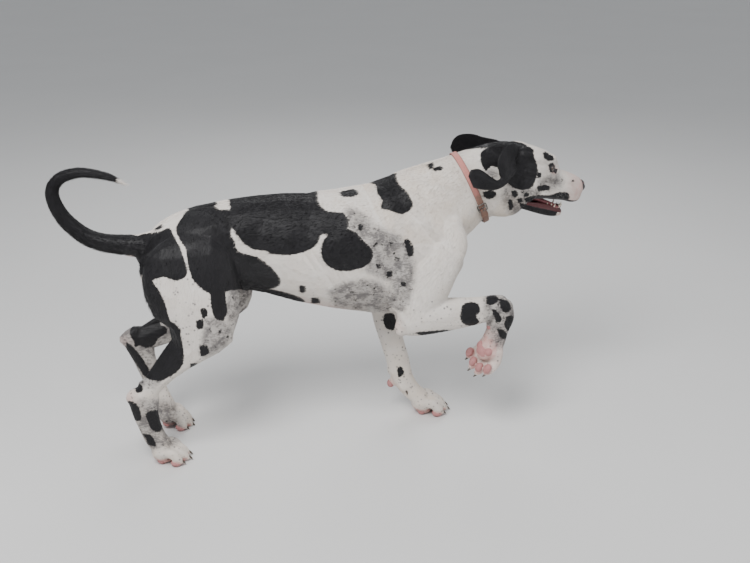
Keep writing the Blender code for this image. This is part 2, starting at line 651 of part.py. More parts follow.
# The node on which each of these places lies or nearly lies
NODES = {
    "torso": (0.0, -0.11, 0.55),
    "neck": (0.45, -0.07, 0.65),
    "tail_base": (-0.45, 0.0, 0.54),
    "tail_middle": (-0.58, 0.015, 0.68),
    "tail_tip": (-0.45, 0.005, 0.73),
    "foreleg_right_forearm": (0.40, -0.11, 0.40),
    "foreleg_right_paw": (0.51, -0.10, 0.30),
    "foreleg_left_forearm": (0.25, 0.12, 0.25),
    "foreleg_left_paw": (0.33, 0.044, 0.06),
    "hindleg_right_thigh": (-0.25, -0.15, 0.40),
    "hindleg_right_shin": (-0.29, -0.13, 0.29),
    "hindleg_right_paw": (-0.385, -0.09, 0.11),
    "hindleg_left_thigh": (-0.20, 0.15, 0.40),
    "hindleg_left_shin": (-0.27, 0.13, 0.30),
    "hindleg_left_paw": (-0.37, 0.085, 0.13),
}
HEAD_NODES = {
    "head": (-0.06, -0.058, -0.01),
    "lower_jaw": (0.03, 0.0, -0.123),
}


def mend(obj):
    """Clears slivers, and leaves only triangles that face outwards."""
    bm = bmesh.new()
    bm.from_mesh(obj.data)
    bmesh.ops.remove_doubles(bm, verts=bm.verts, dist=SLIVER)
    bmesh.ops.dissolve_degenerate(bm, edges=bm.edges, dist=SLIVER)
    bmesh.ops.triangulate(bm, faces=[f for f in bm.faces if len(f.verts) > 3])
    bmesh.ops.recalc_face_normals(bm, faces=bm.faces)
    bm.to_mesh(obj.data)
    bm.free()


def slab(cut, matrix, collection):
    """A thin box across a limb, as a cutter."""
    place, facing, half_across, half_along = cut
    turn = Vector(facing).to_track_quat("X", "Z").to_matrix().to_4x4()
    size = Matrix.Diagonal((GAP, 2 * half_across, 2 * half_along, 1))
    bm = bmesh.new()
    bmesh.ops.create_cube(bm, size=1, matrix=matrix @ Matrix.Translation(Vector(place)) @ turn @ size)
    return mesh_object("cut", bm, collection)


def boolean(obj, operation, collection):
    """Cuts or joins every object of the collection, which then has no more use."""
    modifier = obj.modifiers.new(operation.title(), "BOOLEAN")
    modifier.operation = operation
    modifier.operand_type = "COLLECTION"
    modifier.collection = collection
    modifier.solver = "EXACT"
    bake(obj)
    mend(obj)
    for tool in list(collection.objects):
        bpy.data.objects.remove(tool, do_unlink=True)


def islands(bm):
    """The separate closed surfaces of a mesh, as lists of vertices, largest first."""
    found = []
    seen = set()
    for start in bm.verts:
        if start in seen:
            continue
        seen.add(start)
        group = [start]
        for vert in group:
            for edge in vert.link_edges:
                other = edge.other_vert(vert)
                if other not in seen:
                    seen.add(other)
                    group.append(other)
        found.append(group)
    return sorted(found, key=len, reverse=True)


def copy_part(obj, name, keep, collection):
    """A new object that holds only the given island of another."""
    bm = bmesh.new()
    bm.from_mesh(obj.data)
    bm.verts.ensure_lookup_table()
    wanted = set(keep)
    bmesh.ops.delete(bm, geom=[v for v in bm.verts if v.index not in wanted], context="VERTS")
    return mesh_object(name, bm, collection)


def split(obj, nodes, collection):
    """Splits the cut body at its gaps: each named place takes the surface that comes nearest to it."""
    bm = bmesh.new()
    bm.from_mesh(obj.data)
    bm.verts.index_update()
    groups = [[v.index for v in g] for g in islands(bm) if len(g) > 30]
    places = [np.array([obj.data.vertices[i].co[:] for i in g]) for g in groups]
    bm.free()
    made = {}
    for name, place in nodes.items():
        near = [np.linalg.norm(p - np.array(place), axis=1).min() for p in places]
        made[name] = copy_part(obj, name, groups[int(np.argmin(near))], collection)
    bpy.data.objects.remove(obj, do_unlink=True)
    return made


def keep_largest(obj):
    bm = bmesh.new()
    bm.from_mesh(obj.data)
    scraps = [v for group in islands(bm)[1:] for v in group]
    bmesh.ops.delete(bm, geom=scraps, context="VERTS")
    bm.to_mesh(obj.data)
    bm.free()


MATERIALS = {
    "coat": ((0.72, 0.69, 0.65), 0.55, 0.0),
    "black_coat": ((0.012, 0.011, 0.012), 0.45, 0.0),
    "nose": ((0.035, 0.030, 0.032), 0.38, 0.0),
    "eye": ((0.045, 0.018, 0.008), 0.06, 0.0),
    "tongue": ((0.55, 0.17, 0.18), 0.30, 0.0),
    "tooth": ((0.80, 0.74, 0.62), 0.25, 0.0),
    "strap": ((0.55, 0.24, 0.23), 0.75, 0.0),
    "buckle": ((0.10, 0.09, 0.085), 0.35, 0.9),
}
NODE_MATERIALS = {
    "ear_left": "black_coat",
    "ear_right": "black_coat",
    "tail_base": "black_coat",
    "tail_middle": "black_coat",
    "nose": "nose",
    "eye_left": "eye",
    "eye_right": "eye",
    "tongue": "tongue",
    "lower_teeth": "tooth",
    "collar": "strap",
    "collar_buckle": "buckle",
}


def paint(obj):
    name = NODE_MATERIALS.get(obj.name, "coat")
    material = bpy.data.materials.get(name)
    if material is None:
        colour, roughness, metallic = MATERIALS[name]
        material = bpy.data.materials.new(name)
        material.use_nodes = True
        shader = material.node_tree.nodes["Principled BSDF"]
        shader.inputs["Base Color"].default_value = (*colour, 1)
        shader.inputs["Roughness"].default_value = roughness
        shader.inputs["Metallic"].default_value = metallic
    obj.data.materials.clear()
    obj.data.materials.append(material)


def fused_piece(name, bm, matrix, voxel, triangles, collection):
    """A small piece made of overlapping forms: placed, fused and thinned out."""
    obj = mesh_object(name, bm, collection)
    remesh = obj.modifiers.new("Fuse", "REMESH")
    remesh.mode = "VOXEL"
    remesh.voxel_size = voxel
    smooth = obj.modifiers.new("Soften", "SMOOTH")
    smooth.iterations = 3
    bake(obj)
    thin_out(obj, triangles)
    obj.data.transform(matrix)
    return obj


def ear(name, rows, cup, matrix, parts, cutters):
    """One ear, from the thin cut at its root outwards, finer than the body it grows from."""
    bm = bmesh.new()
    add_loft(bm, rows, power=3.2, steps=6, cap=0.9, cup=cup)
    obj = fused_piece(name, bm, matrix, 0.0016, EAR_TRIANGLES, parts)
    place, facing = Vector(EAR_CUTS[name][0]), Vector(EAR_CUTS[name][1])
    inner = bmesh.new()
    size = 0.2
    middle = Matrix.Translation(place - facing * (size / 2 - GAP / 2))
    bmesh.ops.create_cube(inner, size=size, matrix=matrix @ middle)
    mesh_object("inner", inner, cutters)
    boolean(obj, "DIFFERENCE", cutters)
    return obj


def inflated(obj, distance, collection):
    """A copy of an object pushed out along its normals, as the cutter of its own socket."""
    bm = bmesh.new()
    bm.from_mesh(obj.data)
    bmesh.ops.recalc_face_normals(bm, faces=bm.faces)
    bm.normal_update()
    for vert in bm.verts:
        vert.co += vert.normal * distance * vert.calc_shell_factor()
    return mesh_object("socket", bm, collection)


def nose_form():
    """The nose leather: its pad, the wings round the nostrils, and the groove's ridge down to the lip."""
    bm = bmesh.new()
    add_blob(bm, (0.1155, 0, -0.0195), (0.0135, 0.0175, 0.0115))
    for s in (RIGHT, LEFT):
        add_blob(bm, (0.1165, s * 0.0105, -0.0265), (0.0125, 0.0105, 0.0115))
        add_spindle(bm, (0.109, s * 0.018, -0.024), (0.121, s * 0.0145, -0.029), 0.0075, 0.0045)
    add_spindle(bm, (0.1205, 0, -0.030), (0.1165, 0, -0.048), 0.0045, 0.0042)
    return bm


def nostril_cutters(matrix, cutters):
    """The comma shape of each nostril: a round opening and the slit that runs out and back from it."""
    for s in (RIGHT, LEFT):
        opening = Matrix.Translation((0.1290, s * 0.0088, -0.0255))
        opening = opening @ Matrix.Diagonal((0.0080, 0.0042, 0.0045, 1))
        turn = Matrix.Rotation(-s * math.radians(45), 4, "Z") @ Matrix.Diagonal((0.0022, 0.0075, 0.0022, 1))
        slit = Matrix.Translation((0.1225, s * 0.0165, -0.0290)) @ turn
        for shape in (opening, slit):
            bm = bmesh.new()
            bmesh.ops.create_uvsphere(bm, u_segments=10, v_segments=6, radius=1, matrix=matrix @ shape)
            mesh_object("nostril", bm, cutters)


def tongue_form():
    bm = bmesh.new()
    rows = [
        (-0.030, 0, -0.086, 0.018, 0.005, 0.006),
        (0.005, 0, -0.087, 0.020, 0.006, 0.006),
        (0.040, 0, -0.090, 0.0175, 0.006, 0.005),
        (0.062, 0, -0.0925, 0.0135, 0.005, 0.004),
    ]
    add_loft(bm, rows, power=2.3, cap=0.6)
    return bm


def tooth(bm, base, tip, radius):
    """A pointed tooth as a cone with a rounded tip, its root sunk in the gum."""
    base, tip = Vector(base), Vector(tip)
    along = tip - base
    turn = along.to_track_quat("Z", "X").to_matrix().to_4x4()
    for low, high, r1, r2 in ((0, 0.6, radius, radius * 0.72), (0.58, 1.0, radius * 0.72, radius * 0.18)):
        middle = Matrix.Translation(base + along * (low + high) / 2)
        bmesh.ops.create_cone(bm, cap_ends=True, segments=12, radius1=r1, radius2=r2,
                              depth=along.length * (high - low), matrix=middle @ turn)


# Half of the lower gum's line, from the back to the middle of the front
GUM = [
    (0.0120, 0.0245, -0.0960),
    (0.0400, 0.0215, -0.0950),
    (0.0620, 0.0165, -0.0925),
    (0.0735, 0.0095, -0.0905),
    (0.0770, 0.0000, -0.0900),
]


def teeth_form():
    bm = bmesh.new()
    half = catmull(GUM, 5)
    line = [tuple(p) for p in half] + [(p[0], -p[1], p[2]) for p in half[-2::-1]]
    for a, b in zip(line, line[1:]):
        add_spindle(bm, a, b, 0.0036, 0.0030, overrun=0.5)
    for s in (RIGHT, LEFT):
        tooth(bm, (0.0640, s * 0.0150, -0.0920), (0.0670, s * 0.0175, -0.0760), 0.0034)
        for k, y in enumerate((0.0020, 0.0062, 0.0102)):
            base = (0.0765 - 0.0015 * k, s * y, -0.0890)
            tip = (0.0795 - 0.0018 * k, s * y * 1.05, -0.0820)
            tooth(bm, base, tip, 0.0019)
        for x, size in ((0.046, 0.0024), (0.035, 0.0029), (0.022, 0.0034)):
            gum = -0.0940 - (0.046 - x) * 0.05
            tooth(bm, (x, s * 0.0212, gum), (x + 0.001, s * 0.0222, gum + 0.0085), size)
    return bm


def gaze_matrix(side):
    """Carries x along the gaze, y across and z up to the head's own axes, at the middle of one eye."""
    turn = Matrix.Rotation(side * GAZE, 4, "Z") @ Matrix.Rotation(math.radians(-4), 4, "Y")
    return Matrix.Translation(EYE_AT * Vector((1, side, 1))) @ turn


def add_eye(side, matrix, parts, cutters):
    """The eyeball, and the cutters of its socket and of the almond between the lids."""
    place = matrix @ gaze_matrix(side)
    ball = bmesh.new()
    bmesh.ops.create_uvsphere(ball, u_segments=16, v_segments=10, radius=EYE_RADIUS, matrix=place)
    socket = bmesh.new()
    bmesh.ops.create_uvsphere(socket, u_segments=16, v_segments=10, radius=EYE_RADIUS + GAP, matrix=place)
    opening = bmesh.new()
    shape = Matrix.Translation((EYE_RADIUS, 0, 0)) @ Matrix.Diagonal((0.009, 0.0108, 0.0068, 1))
    bmesh.ops.create_uvsphere(opening, u_segments=16, v_segments=8, radius=1, matrix=place @ shape)
    mesh_object("socket", socket, cutters)
    mesh_object("lids", opening, cutters)
    return mesh_object("eye_left" if side == LEFT else "eye_right", ball, parts)


def face(nodes, matrix, parts, cutters):
    """Sets the eyes, nose, tongue and teeth in their sockets."""
    eyes = [add_eye(side, matrix, parts, cutters) for side in (RIGHT, LEFT)]
    nose = fused_piece("nose", nose_form(), matrix, 0.0010, NOSE_TRIANGLES, parts)
    inflated(nose, GAP, cutters)
    boolean(nodes["head"], "DIFFERENCE", cutters)
    nostril_cutters(matrix, cutters)
    boolean(nose, "DIFFERENCE", cutters)
    tongue = fused_piece("tongue", tongue_form(), matrix, 0.0015, TONGUE_TRIANGLES, parts)
    teeth = fused_piece("lower_teeth", teeth_form(), matrix, 0.0006, TEETH_TRIANGLES, parts)
    inflated(teeth, GAP, cutters)
    boolean(tongue, "DIFFERENCE", cutters)
    for host in ("head", "lower_jaw"):
        inflated(teeth, GAP, cutters)
        inflated(tongue, GAP, cutters)
        boolean(nodes[host], "DIFFERENCE", cutters)
    return [*eyes, nose, tongue, teeth]


# Claws in a paw's own axes, at the end of each toe
CLAW_RADIUS = 0.0036
CLAW_LENGTH = 0.017


def claw_cutters(name, cutters):
    """The short, blunt claws of one paw, each a cone that points forwards and down."""
    for y, reach, spread in TOES:
        bm = bmesh.new()
        down = Matrix.Rotation(math.radians(22), 4, "Y") @ Matrix.Rotation(math.radians(90), 4, "Y")
        place = Matrix.Translation((reach + CLAW_LENGTH * 0.36, y + spread, -0.0135)) @ down
        bmesh.ops.create_cone(bm, cap_ends=True, segments=8, radius1=CLAW_RADIUS, radius2=CLAW_RADIUS * 0.3,
                              depth=CLAW_LENGTH, matrix=paw_axes(name) @ place)
        mesh_object("claw", bm, cutters)


def flatten_soles(obj, cutters):
    """Cuts the bottom of a standing paw flat, at the level of the floor."""
    low = vertex_array(obj)[:, 2].min()
    if low > -0.0001:
        return
    bm = bmesh.new()
    size = Matrix.Translation((0, 0, -0.05)) @ Matrix.Diagonal((3, 1, 0.1, 1))
    bmesh.ops.create_cube(bm, size=1, matrix=size)
    mesh_object("floor", bm, cutters)
    boolean(obj, "DIFFERENCE", cutters)


# The collar's loop: its middle, the way it faces, and where its buckle sits, in turns from the top
COLLAR_AT = Vector((0.446, 0.0, 0.657))
COLLAR_FACING = Vector((0.906, 0.0, 0.423)).normalized()
BUCKLE_TURN = 0.325


def strap_reaches(hosts):
    """All round the neck: the way out from its middle, and how far the strap's two edges lie out."""
    trees = [BVHTree.FromPolygons([v.co for v in o.data.vertices], [p.vertices[:] for p in o.data.polygons])
             for o in hosts]
    up = (UP - UP.dot(COLLAR_FACING) * COLLAR_FACING).normalized()
    side = COLLAR_FACING.cross(up)
    start = 0.25

    def reach(turn, offset):
        out = up * math.cos(turn) + side * math.sin(turn)
        middle = COLLAR_AT + COLLAR_FACING * STRAP_WIDTH * offset
        hits = [tree.ray_cast(middle + out * start, -out, start) for tree in trees]
        return max(start - hit[3] for hit in hits if hit[0] is not None)

    rows = []
    for k in range(STRAP_STEPS):
        turns = [2 * math.pi * (k + part) / STRAP_STEPS for part in (-1, -0.67, -0.33, 0, 0.33, 0.67, 1)]
        back = max(reach(turn, offset) for turn in turns for offset in (-0.55, -0.3, 0))
        front = max(reach(turn, offset) for turn in turns for offset in (0, 0.3, 0.55))
        out = up * math.cos(turns[3]) + side * math.sin(turns[3])
        rows.append((out, back + STRAP_CLEAR, front + STRAP_CLEAR))
    return rows


def collar(rows, parts):
    """The strap as a closed loop that lies on the coat, a hair clear of it."""
    bm = bmesh.new()
    rings = []
    for out, back, front in rows:
        ring = []
        for offset, reach, rise in ((-0.5, back, 0), (0.5, front, 0), (0.5, front, 1), (-0.5, back, 1)):
            place = COLLAR_AT + COLLAR_FACING * STRAP_WIDTH * offset
            ring.append(bm.verts.new(place + out * (reach + rise * STRAP_THICKNESS)))
        rings.append(ring)
    for a, b in zip(rings, rings[1:] + rings[:1]):
        for i in range(4):
            j = (i + 1) % 4
            bm.faces.new((a[i], a[j], b[j], b[i]))
    return mesh_object("collar", bm, parts)


def collar_buckle(rows, parts, cutters):
    """A plain frame buckle with its bar, flat against the strap's outer face."""
    k = round(BUCKLE_TURN * STRAP_STEPS)
    tops = [COLLAR_AT + out * (max(back, front) + STRAP_THICKNESS) for out, back, front in rows]
    across = COLLAR_FACING
    along = (tops[k + 1] - tops[k - 1]).normalized()
    out = along.cross(across)
    if out.dot(rows[k][0]) < 0:
        along, out = -along, -out
    turn = Matrix((across, -along, out)).transposed().to_4x4()
    place = Matrix.Translation(tops[k] + out * (BUCKLE_THICKNESS / 2 + 3 * GAP)) @ turn
    outer = bmesh.new()
    size = Matrix.Diagonal((STRAP_WIDTH + 0.009, BUCKLE_LENGTH, BUCKLE_THICKNESS, 1))
    bmesh.ops.create_cube(outer, size=1, matrix=place @ size)
    frame = mesh_object("collar_buckle", outer, parts)
    for step in (-1, 1):
        hole = bmesh.new()
        window = Matrix.Diagonal((STRAP_WIDTH + 0.002, 0.0062, 0.01, 1))
        bmesh.ops.create_cube(hole, size=1, matrix=place @ Matrix.Translation((0, step * 0.0045, 0)) @ window)
        mesh_object("hole", hole, cutters)
    boolean(frame, "DIFFERENCE", cutters)
    return frame


def main():
    clear_scene()
    parts = bpy.data.collections.new("great_dane")
    cutters = bpy.data.collections.new("cutters")
    for collection in (parts, cutters):
        bpy.context.scene.collection.children.link(collection)
    cutters.hide_render = True
    head = head_matrix()
    body = mesh_object("body", body_form(), parts)
    fuse(body)
    for cut in BODY_CUTS.values():
        slab(cut, Matrix.Identity(4), cutters)
    for cut in [HEAD_CUT, JAW_CUT, *EAR_CUTS.values()]:
        slab(cut, head, cutters)
    boolean(body, "DIFFERENCE", cutters)
    places = NODES | {name: tuple(head @ Vector(p)) for name, p in HEAD_NODES.items()}
    nodes = split(body, places, parts)
    ear("ear_right", EAR_RIGHT, EAR_CUP, head, parts, cutters)
    ear("ear_left", EAR_LEFT, -EAR_CUP, head, parts, cutters)
    face(nodes, head, parts, cutters)
    for name in PAWS:
        leg, side = name.split("_")
        paw = nodes[f"{leg}leg_{side}_paw"]
        claw_cutters(name, cutters)
        boolean(paw, "UNION", cutters)
        flatten_soles(paw, cutters)
    rows = strap_reaches([nodes["neck"], nodes["head"]])
    collar(rows, parts)
    collar_buckle(rows, parts, cutters)
    place = Matrix.Translation(SHIFT) @ Matrix.Scale(WITHERS / DRAWN_WITHERS, 4)
    for obj in parts.objects:
        keep_largest(obj)
        obj.data.transform(place)
        paint(obj)


main()
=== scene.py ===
"""The looks of a life-size great dane in a low walk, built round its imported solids.

One skin takes the place of the solids' flesh and lies inside them by the coat's depth. The short coat is
mostly the skin's own bump, with thin tufts that lie along the body where hair breaks the form. Tables and
form functions are in the drawing's own axes: the dog faces +X, its left side is +Y, the floor is z = 0.
"""

import math

import bmesh
import bpy
import numpy as np
from mathutils import Matrix, Vector
from mathutils.bvhtree import BVHTree


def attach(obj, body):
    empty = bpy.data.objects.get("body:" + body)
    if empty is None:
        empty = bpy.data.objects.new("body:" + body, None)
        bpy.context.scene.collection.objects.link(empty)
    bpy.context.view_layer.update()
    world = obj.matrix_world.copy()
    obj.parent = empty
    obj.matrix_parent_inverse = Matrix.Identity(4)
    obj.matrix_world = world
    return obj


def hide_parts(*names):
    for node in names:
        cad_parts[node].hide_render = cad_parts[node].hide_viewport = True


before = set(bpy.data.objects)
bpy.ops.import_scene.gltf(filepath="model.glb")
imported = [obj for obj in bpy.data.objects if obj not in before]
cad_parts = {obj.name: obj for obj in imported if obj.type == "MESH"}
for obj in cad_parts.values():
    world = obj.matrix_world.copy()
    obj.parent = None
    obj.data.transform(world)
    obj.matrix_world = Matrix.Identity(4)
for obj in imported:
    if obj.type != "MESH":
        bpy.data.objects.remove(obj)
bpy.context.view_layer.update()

# Sizes, in metres, and turns shared with the solids
WITHERS = 0.697
DRAWN_WITHERS = 0.697
SHIFT = Vector((-0.0945, 0.0039, 0.0))
PLACE = Matrix.Translation(SHIFT) @ Matrix.Scale(WITHERS / DRAWN_WITHERS, 4)
SIDES = 40
COAT_DEPTH = 0.0012        # how far the skin lies inside the solids
BODY_VOXEL = 0.0025
HEAD_VOXEL = 0.0012
STRAP_WIDTH = 0.016
STRAP_THICKNESS = 0.0026
STRAP_CLEAR = 0.0004
STRAP_STEPS = 160

# Where the head sits: the stop, midway between the eyes, and how the head is turned
STOP = Vector((0.658, 0.031, 0.692))
HEAD_YAW = math.radians(13.6)
HEAD_DOWN = math.radians(19.1)
HEAD_ROLL = math.radians(-2)
EYE_RADIUS = 0.0122
EYE_AT = Vector((-0.0155, 0.0335, 0.0005))
GAZE = math.radians(50)    # how far each eye looks outwards from straight ahead

RIGHT, LEFT = -1, 1
UP = Vector((0, 0, 1))
ACROSS = Vector((0, 1, 0))


def mesh_object(name, bm, collection):
    """A new object from a bmesh, with its faces turned outwards."""
    bmesh.ops.recalc_face_normals(bm, faces=bm.faces)
    mesh = bpy.data.meshes.new(name)
    bm.to_mesh(mesh)
    bm.free()
    obj = bpy.data.objects.new(name, mesh)
    collection.objects.link(obj)
    return obj


def catmull(points, steps):
    """Rows of numbers along a smooth curve through the given rows."""
    p = np.array(points, float)
    p = np.vstack([2 * p[0] - p[1], p, 2 * p[-1] - p[-2]])
    rows = []
    for i in range(1, len(p) - 2):
        for t in np.linspace(0, 1, steps, endpoint=False):
            a = 2 * p[i]
            b = (p[i + 1] - p[i - 1]) * t
            c = (2 * p[i - 1] - 5 * p[i] + 4 * p[i + 1] - p[i + 2]) * t**2
            d = (-p[i - 1] + 3 * p[i] - 3 * p[i + 1] + p[i + 2]) * t**3
            rows.append((a + b + c + d) / 2)
    rows.append(p[-2])
    return np.array(rows)


def section(centre, along, side, up, down, power, across, cup=0.0, sides=SIDES):
    """One closed section: half width side, and separate heights above and below its centre."""
    s = (across - across.dot(along) * along).normalized()
    u = along.cross(s)
    ring = []
    for k in range(sides):
        a = 2 * math.pi * k / sides
        c, v = math.cos(a), math.sin(a)
        w = side * math.copysign(abs(c) ** (2 / power), c)
        h = (up if v > 0 else down) * math.copysign(abs(v) ** (2 / power), v)
        bend = cup * (h / (up if v > 0 else down)) ** 2
        ring.append(centre + s * (w + bend) + u * h)
    return ring


def add_loft(bm, stations, across=ACROSS, power=2.0, steps=5, cap=0.6, cup=0.0, sides=SIDES):
    """Adds a closed loft along stations (x, y, z, side, up, down). Each round end stands out by cap."""
    rows = catmull(stations, steps)
    centres = [Vector(r[:3]) for r in rows]
    tangents = []
    for i in range(len(rows)):
        a = centres[max(i - 1, 0)]
        b = centres[min(i + 1, len(rows) - 1)]
        tangents.append((b - a).normalized())
    rings = []
    for quarter in (0.25, 0.6, 0.88):
        shrink, out = quarter, math.sqrt(1 - quarter**2)
        r = rows[0]
        reach = cap * min(r[3], (r[4] + r[5]) / 2)
        rings.append(section(centres[0] - tangents[0] * reach * out, tangents[0],
                             *(r[3:6] * shrink), power, across, cup, sides))
    for r, c, t in zip(rows, centres, tangents):
        rings.append(section(c, t, *r[3:6], power, across, cup, sides))
    for quarter in (0.88, 0.6, 0.25):
        shrink, out = quarter, math.sqrt(1 - quarter**2)
        r = rows[-1]
        reach = cap * min(r[3], (r[4] + r[5]) / 2)
        rings.append(section(centres[-1] + tangents[-1] * reach * out, tangents[-1],
                             *(r[3:6] * shrink), power, across, cup, sides))
    verts = [[bm.verts.new(p) for p in ring] for ring in rings]
    for a, b in zip(verts, verts[1:]):
        for k in range(sides):
            j = (k + 1) % sides
            bm.faces.new((a[k], a[j], b[j], b[k]))
    bm.faces.new(verts[0][::-1])
    bm.faces.new(verts[-1])


def add_spindle(bm, a, b, wide, thick, across=ACROSS, overrun=0.15):
    """Adds a long ellipsoid from a to b: thick is its half size across, wide its half size the other way."""
    a, b = Vector(a), Vector(b)
    along = (b - a).normalized()
    s = (across - across.dot(along) * along).normalized()
    u = along.cross(s)
    half = (b - a).length * (0.5 + overrun)
    turn = Matrix((along, s, u)).transposed().to_4x4()
    place = Matrix.Translation((a + b) / 2) @ turn @ Matrix.Diagonal((half, thick, wide, 1))
    bmesh.ops.create_uvsphere(bm, u_segments=20, v_segments=12, radius=1, matrix=place)


def add_blob(bm, centre, radii):
    place = Matrix.Translation(Vector(centre)) @ Matrix.Diagonal((*radii, 1))
    bmesh.ops.create_uvsphere(bm, u_segments=20, v_segments=12, radius=1, matrix=place)


# The trunk: x, top, bottom, height of the widest level, half width
TRUNK = [
    (-0.372, 0.554, 0.5, 0.53, 0.03),
    (-0.345, 0.578, 0.478, 0.53, 0.06),
    (-0.3, 0.612, 0.455, 0.538, 0.086),
    (-0.24, 0.638, 0.438, 0.548, 0.095),
    (-0.17, 0.651, 0.427, 0.548, 0.094),
    (-0.1, 0.66, 0.421, 0.546, 0.096),
    (-0.04, 0.665, 0.408, 0.536, 0.104),
    (0.03, 0.665, 0.383, 0.516, 0.116),
    (0.1, 0.666, 0.362, 0.508, 0.126),
    (0.17, 0.674, 0.347, 0.505, 0.128),
    (0.23, 0.69, 0.335, 0.502, 0.121),
    (0.29, 0.698, 0.34, 0.505, 0.109),
    (0.34, 0.7, 0.366, 0.51, 0.093),
    (0.37, 0.676, 0.412, 0.52, 0.072),
    (0.39, 0.63, 0.47, 0.535, 0.048),
]

# The neck, from the shoulders to behind the jaw: x, y, z, side, up, down
NECK = [
    (0.262, 0.0, 0.56, 0.096, 0.116, 0.11),
    (0.305, 0.0, 0.583, 0.097, 0.126, 0.122),
    (0.345, 0.0, 0.603, 0.092, 0.122, 0.113),
    (0.39, 0.0, 0.629, 0.082, 0.109, 0.108),
    (0.44, 0.0, 0.656, 0.072, 0.094, 0.095),
    (0.49, 0.004, 0.672, 0.065, 0.091, 0.096),
    (0.535, 0.01, 0.681, 0.062, 0.088, 0.096),
    (0.575, 0.018, 0.682, 0.058, 0.078, 0.086),
]

# The tail's centreline and radius, from the croup to the tip
TAIL = [
    (-0.315, 0.0, 0.558, 0.042),
    (-0.36, 0.0, 0.55, 0.032),
    (-0.415, 0.002, 0.556, 0.0255),
    (-0.462, 0.005, 0.564, 0.0225),
    (-0.502, 0.009, 0.582, 0.021),
    (-0.541, 0.013, 0.62, 0.0192),
    (-0.562, 0.015, 0.662, 0.0175),
    (-0.565, 0.015, 0.697, 0.016),
    (-0.546, 0.013, 0.724, 0.0148),
    (-0.514, 0.011, 0.736, 0.0136),
    (-0.482, 0.009, 0.737, 0.0122),
    (-0.432, 0.004, 0.726, 0.0098),
    (-0.396, 0.0, 0.708, 0.0055),
]

# Each limb segment is a list of stations: x, y, z, side, front (or up), back (or down)
FORE_RIGHT = {
    "arm": [
        (0.382, -0.084, 0.59, 0.026, 0.022, 0.034),
        (0.389, -0.092, 0.545, 0.036, 0.032, 0.05),
        (0.368, -0.1, 0.5, 0.04, 0.036, 0.06),
        (0.33, -0.106, 0.44, 0.04, 0.05, 0.062),
        (0.292, -0.11, 0.385, 0.038, 0.052, 0.048),
        (0.276, -0.112, 0.355, 0.034, 0.04, 0.04),
    ],
    "forearm": [
        (0.268, -0.112, 0.352, 0.034, 0.046, 0.042),
        (0.305, -0.114, 0.358, 0.039, 0.048, 0.046),
        (0.35, -0.114, 0.362, 0.037, 0.044, 0.046),
        (0.4, -0.112, 0.364, 0.032, 0.04, 0.043),
        (0.45, -0.108, 0.365, 0.027, 0.035, 0.038),
        (0.49, -0.104, 0.367, 0.026, 0.034, 0.034),
        (0.514, -0.102, 0.364, 0.027, 0.034, 0.03),
    ],
    "pastern": [
        (0.514, -0.101, 0.372, 0.027, 0.03, 0.028),
        (0.512, -0.1, 0.34, 0.028, 0.037, 0.032),
        (0.505, -0.099, 0.306, 0.026, 0.032, 0.026),
        (0.498, -0.099, 0.276, 0.029, 0.031, 0.028),
        (0.488, -0.1, 0.25, 0.032, 0.03, 0.03),
    ],
}
FORE_LEFT = {
    "arm": [
        (0.34, 0.082, 0.58, 0.026, 0.022, 0.034),
        (0.342, 0.09, 0.53, 0.036, 0.032, 0.05),
        (0.322, 0.097, 0.48, 0.039, 0.036, 0.06),
        (0.288, 0.1, 0.43, 0.038, 0.048, 0.06),
        (0.262, 0.098, 0.385, 0.036, 0.048, 0.046),
        (0.248, 0.096, 0.35, 0.034, 0.04, 0.044),
    ],
    "forearm": [
        (0.246, 0.096, 0.36, 0.034, 0.04, 0.046),
        (0.246, 0.09, 0.315, 0.036, 0.04, 0.04),
        (0.252, 0.082, 0.265, 0.033, 0.037, 0.036),
        (0.264, 0.072, 0.21, 0.028, 0.033, 0.032),
        (0.276, 0.062, 0.16, 0.027, 0.034, 0.03),
        (0.281, 0.056, 0.128, 0.027, 0.034, 0.032),
    ],
    "pastern": [
        (0.282, 0.056, 0.135, 0.026, 0.032, 0.03),
        (0.292, 0.052, 0.102, 0.026, 0.03, 0.028),
        (0.312, 0.048, 0.07, 0.026, 0.027, 0.024),
        (0.338, 0.044, 0.044, 0.032, 0.026, 0.024),
    ],
}
HIND_RIGHT = {
    "thigh": [
        (-0.252, -0.056, 0.585, 0.03, 0.06, 0.066),
        (-0.25, -0.07, 0.56, 0.046, 0.086, 0.104),
        (-0.25, -0.08, 0.52, 0.052, 0.098, 0.121),
        (-0.25, -0.088, 0.48, 0.053, 0.104, 0.122),
        (-0.245, -0.095, 0.44, 0.05, 0.104, 0.116),
        (-0.24, -0.1, 0.4, 0.045, 0.094, 0.106),
        (-0.245, -0.102, 0.362, 0.04, 0.082, 0.083),
        (-0.258, -0.103, 0.33, 0.034, 0.068, 0.063),
    ],
    "gaskin": [
        (-0.205, -0.104, 0.37, 0.04, 0.058, 0.075),
        (-0.245, -0.102, 0.332, 0.036, 0.05, 0.058),
        (-0.285, -0.099, 0.296, 0.03, 0.036, 0.043),
        (-0.32, -0.096, 0.263, 0.025, 0.027, 0.032),
        (-0.352, -0.094, 0.232, 0.022, 0.024, 0.029),
        (-0.382, -0.092, 0.204, 0.022, 0.027, 0.032),
    ],
    "pastern": [
        (-0.396, -0.092, 0.202, 0.022, 0.036, 0.034),
        (-0.395, -0.092, 0.18, 0.022, 0.042, 0.036),
        (-0.391, -0.092, 0.145, 0.02, 0.032, 0.034),
        (-0.384, -0.091, 0.108, 0.019, 0.028, 0.03),
        (-0.374, -0.09, 0.07, 0.021, 0.028, 0.028),
        (-0.36, -0.09, 0.044, 0.027, 0.027, 0.026),
    ],
}
